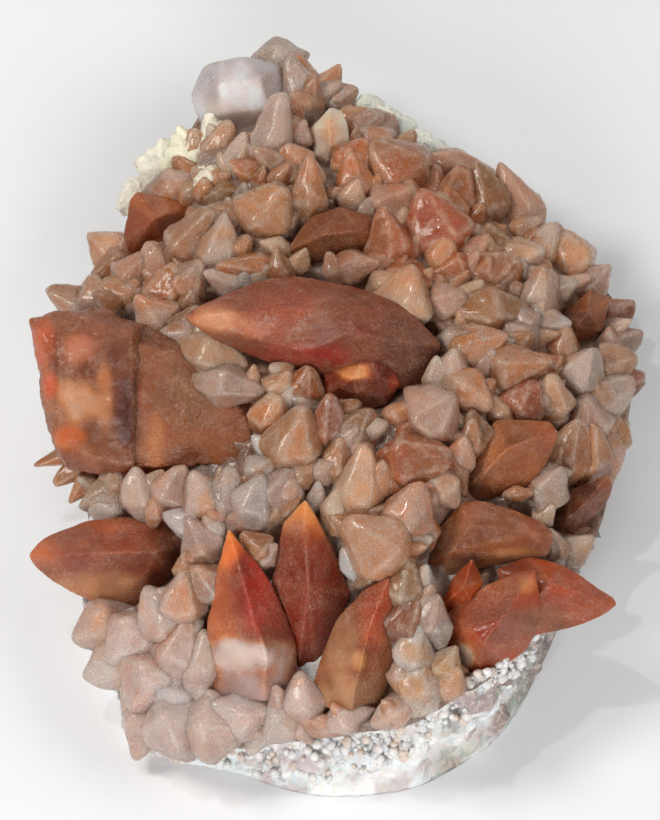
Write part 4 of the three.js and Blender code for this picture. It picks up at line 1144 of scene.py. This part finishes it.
def fill_rows(taken):
    """Crystals that fill the crust between those listed, on a jittered grid of the face."""
    draw = random_from(5)
    rows = []
    up = -54.0
    while up < 70:
        across = -50.0
        while across < 52:
            a = across + (draw() - 0.5) * FILL_DRIFT
            b = up + (draw() - 0.5) * FILL_DRIFT
            size = 6 + 2.5 * draw()
            turn = 90 - 0.9 * a + (draw() - 0.5) * 110
            lean = 25 + 35 * draw()
            if within_rim(a, b, 0.95) and (np.hypot(taken[:, 0] - a, taken[:, 1] - b) > taken[:, 2]).all():
                rows.append((a, b, size, size * 0.66, turn, lean))
            across += FILL_STEP
        up += FILL_STEP
    return rows


taken = np.array([(r[0], r[1], 0.3 * (r[2] + r[3])) for r in SMALL] + large_places())
shape_draw = random_from(11)
tint_draw = random_from(23)
standing = Cluster()
for row in SMALL:
    add_small(standing, crystal_row(row, shape_draw, 4), row[6], tint_draw)
for row in fill_rows(taken):
    if over_large(row[0], row[1], 0.0):
        continue
    name = FILL_TINTS[int(tint_draw() * len(FILL_TINTS))]
    add_small(crust, crystal_row(row, shape_draw, 4), name, tint_draw)

seed_draw = random_from(61)
placed = [(999.0, 999.0)]
for _ in range(SEED_TRIES):
    a = -52 + 104 * seed_draw()
    b = -56 + 128 * seed_draw()
    if (np.hypot(*(np.array(placed) - (a, b)).T) < SEED_GAP).any() or over_large(a, b, -0.6):
        continue
    if not within_rim(a, b, 0.985):
        continue
    placed.append((a, b))
    length = 5 + 3.4 * seed_draw()
    turn = 90 - 0.9 * a + (seed_draw() - 0.5) * 150
    row = (a, b, length, length * (0.5 + 0.2 * seed_draw()), turn, 10 + 50 * seed_draw())
    name = FILL_TINTS[int(seed_draw() * len(FILL_TINTS))]
    add_small(crust, crystal_row(row, seed_draw, 3, 1.25, 0.3), name, tint_draw)

rim_draw = random_from(19)
rim_length = np.linalg.norm(np.roll(rim_line[:, :3], -1, axis=0) - rim_line[:, :3], axis=1)
rim_steps = round(rim_length.sum() / RIM_STEP)
rim_run = np.concatenate([[0], np.cumsum(rim_length)[:-1]])
for i in range(rim_steps):
    at = np.array([np.interp(i / rim_steps * rim_length.sum(), rim_run, rim_line[:, k]) for k in range(3)])
    length = 6 + 1.6 * rim_draw()
    outward_turn = math.atan2(at[1], at[0]) + (rim_draw() - 0.5) * 1.2
    rise = math.radians(15 + 35 * rim_draw())
    tip = (math.cos(outward_turn) * math.cos(rise), math.sin(outward_turn) * math.cos(rise), math.sin(rise))
    centre = at * (0.94, 0.94, 1) - (0, 0, 1.5) - CENTRE
    name = FILL_TINTS[int(tint_draw() * len(FILL_TINTS))]
    add_small(crust, small_body(centre, tip, length, length * 0.75, 4, rim_draw), name, tint_draw)

crust_material = mineral("crust calcite", grain=1600, mottle=0.4, painted_glint_amount=0.3, relief=0.5, milk=0.35,
    depth=2.0, clearness=0.55, index=1.42, gloss=0.35)
crust_piece = crust.piece("crystal_bed", crust_material)
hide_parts("crystal_crust")
standing_piece = standing.piece("small_crystals", crust_material)
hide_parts("crystal_crust")


# Sugary white calcite: grains of 1 to 3 mm that grew on the front of the rock, thickest under the front
# crystals. They lie between two directions around the plate, down to some way below the crust's edge.
SUGAR_GRAINS = 900
SUGAR_FROM = -158
SUGAR_SWEEP = 108
SUGAR_FALL = 11
SUGAR_SOFTNESS = 30
sugar = Cluster()
sugar_draw = random_from(83)
for _ in range(SUGAR_GRAINS):
    angle = math.radians(SUGAR_FROM + SUGAR_SWEEP * sugar_draw())
    radius, edge_height, foot = (float(v) for v in rim_at(angle))
    drop = SUGAR_FALL * sugar_draw() ** 1.6
    size = 0.8 + 1.5 * sugar_draw() ** 2
    share = drop / max(edge_height, 1)
    reach = radius + foot * min(share, 1) - 1.1 + 0.7 * sugar_draw()
    place = (reach * math.cos(angle), reach * math.sin(angle), max(edge_height - drop, 1.5))
    centre = np.array(place) - CENTRE
    tip = np.array([sugar_draw() - 0.5, -0.6 * sugar_draw(), 0.3 + sugar_draw()])
    tip /= np.linalg.norm(tip)
    body = small_body(centre, tip, size * 1.4, size, 2, sugar_draw, SUGAR_SOFTNESS)
    points, faces = body[:2]
    tint = np.tile(colour("fbf8f6") * (0.8 + 0.2 * sugar_draw()), (len(points), 1))
    if sugar_draw() < 0.25:
        tint *= colour("f0dcd0")
    sugar.add(points, faces, np.clip(tint, 0, 0.95), np.full(len(points), 0.7))
sugar_material = mineral("sugary calcite", grain=1500, mottle=0.1, painted_glint_amount=0.4, relief=0.2, milk=0.6,
    depth=2.0, clearness=0.0, index=1.5, gloss=0.3)
sugar_piece = sugar.piece("sugary_calcite", sugar_material)
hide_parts("crystal_crust")
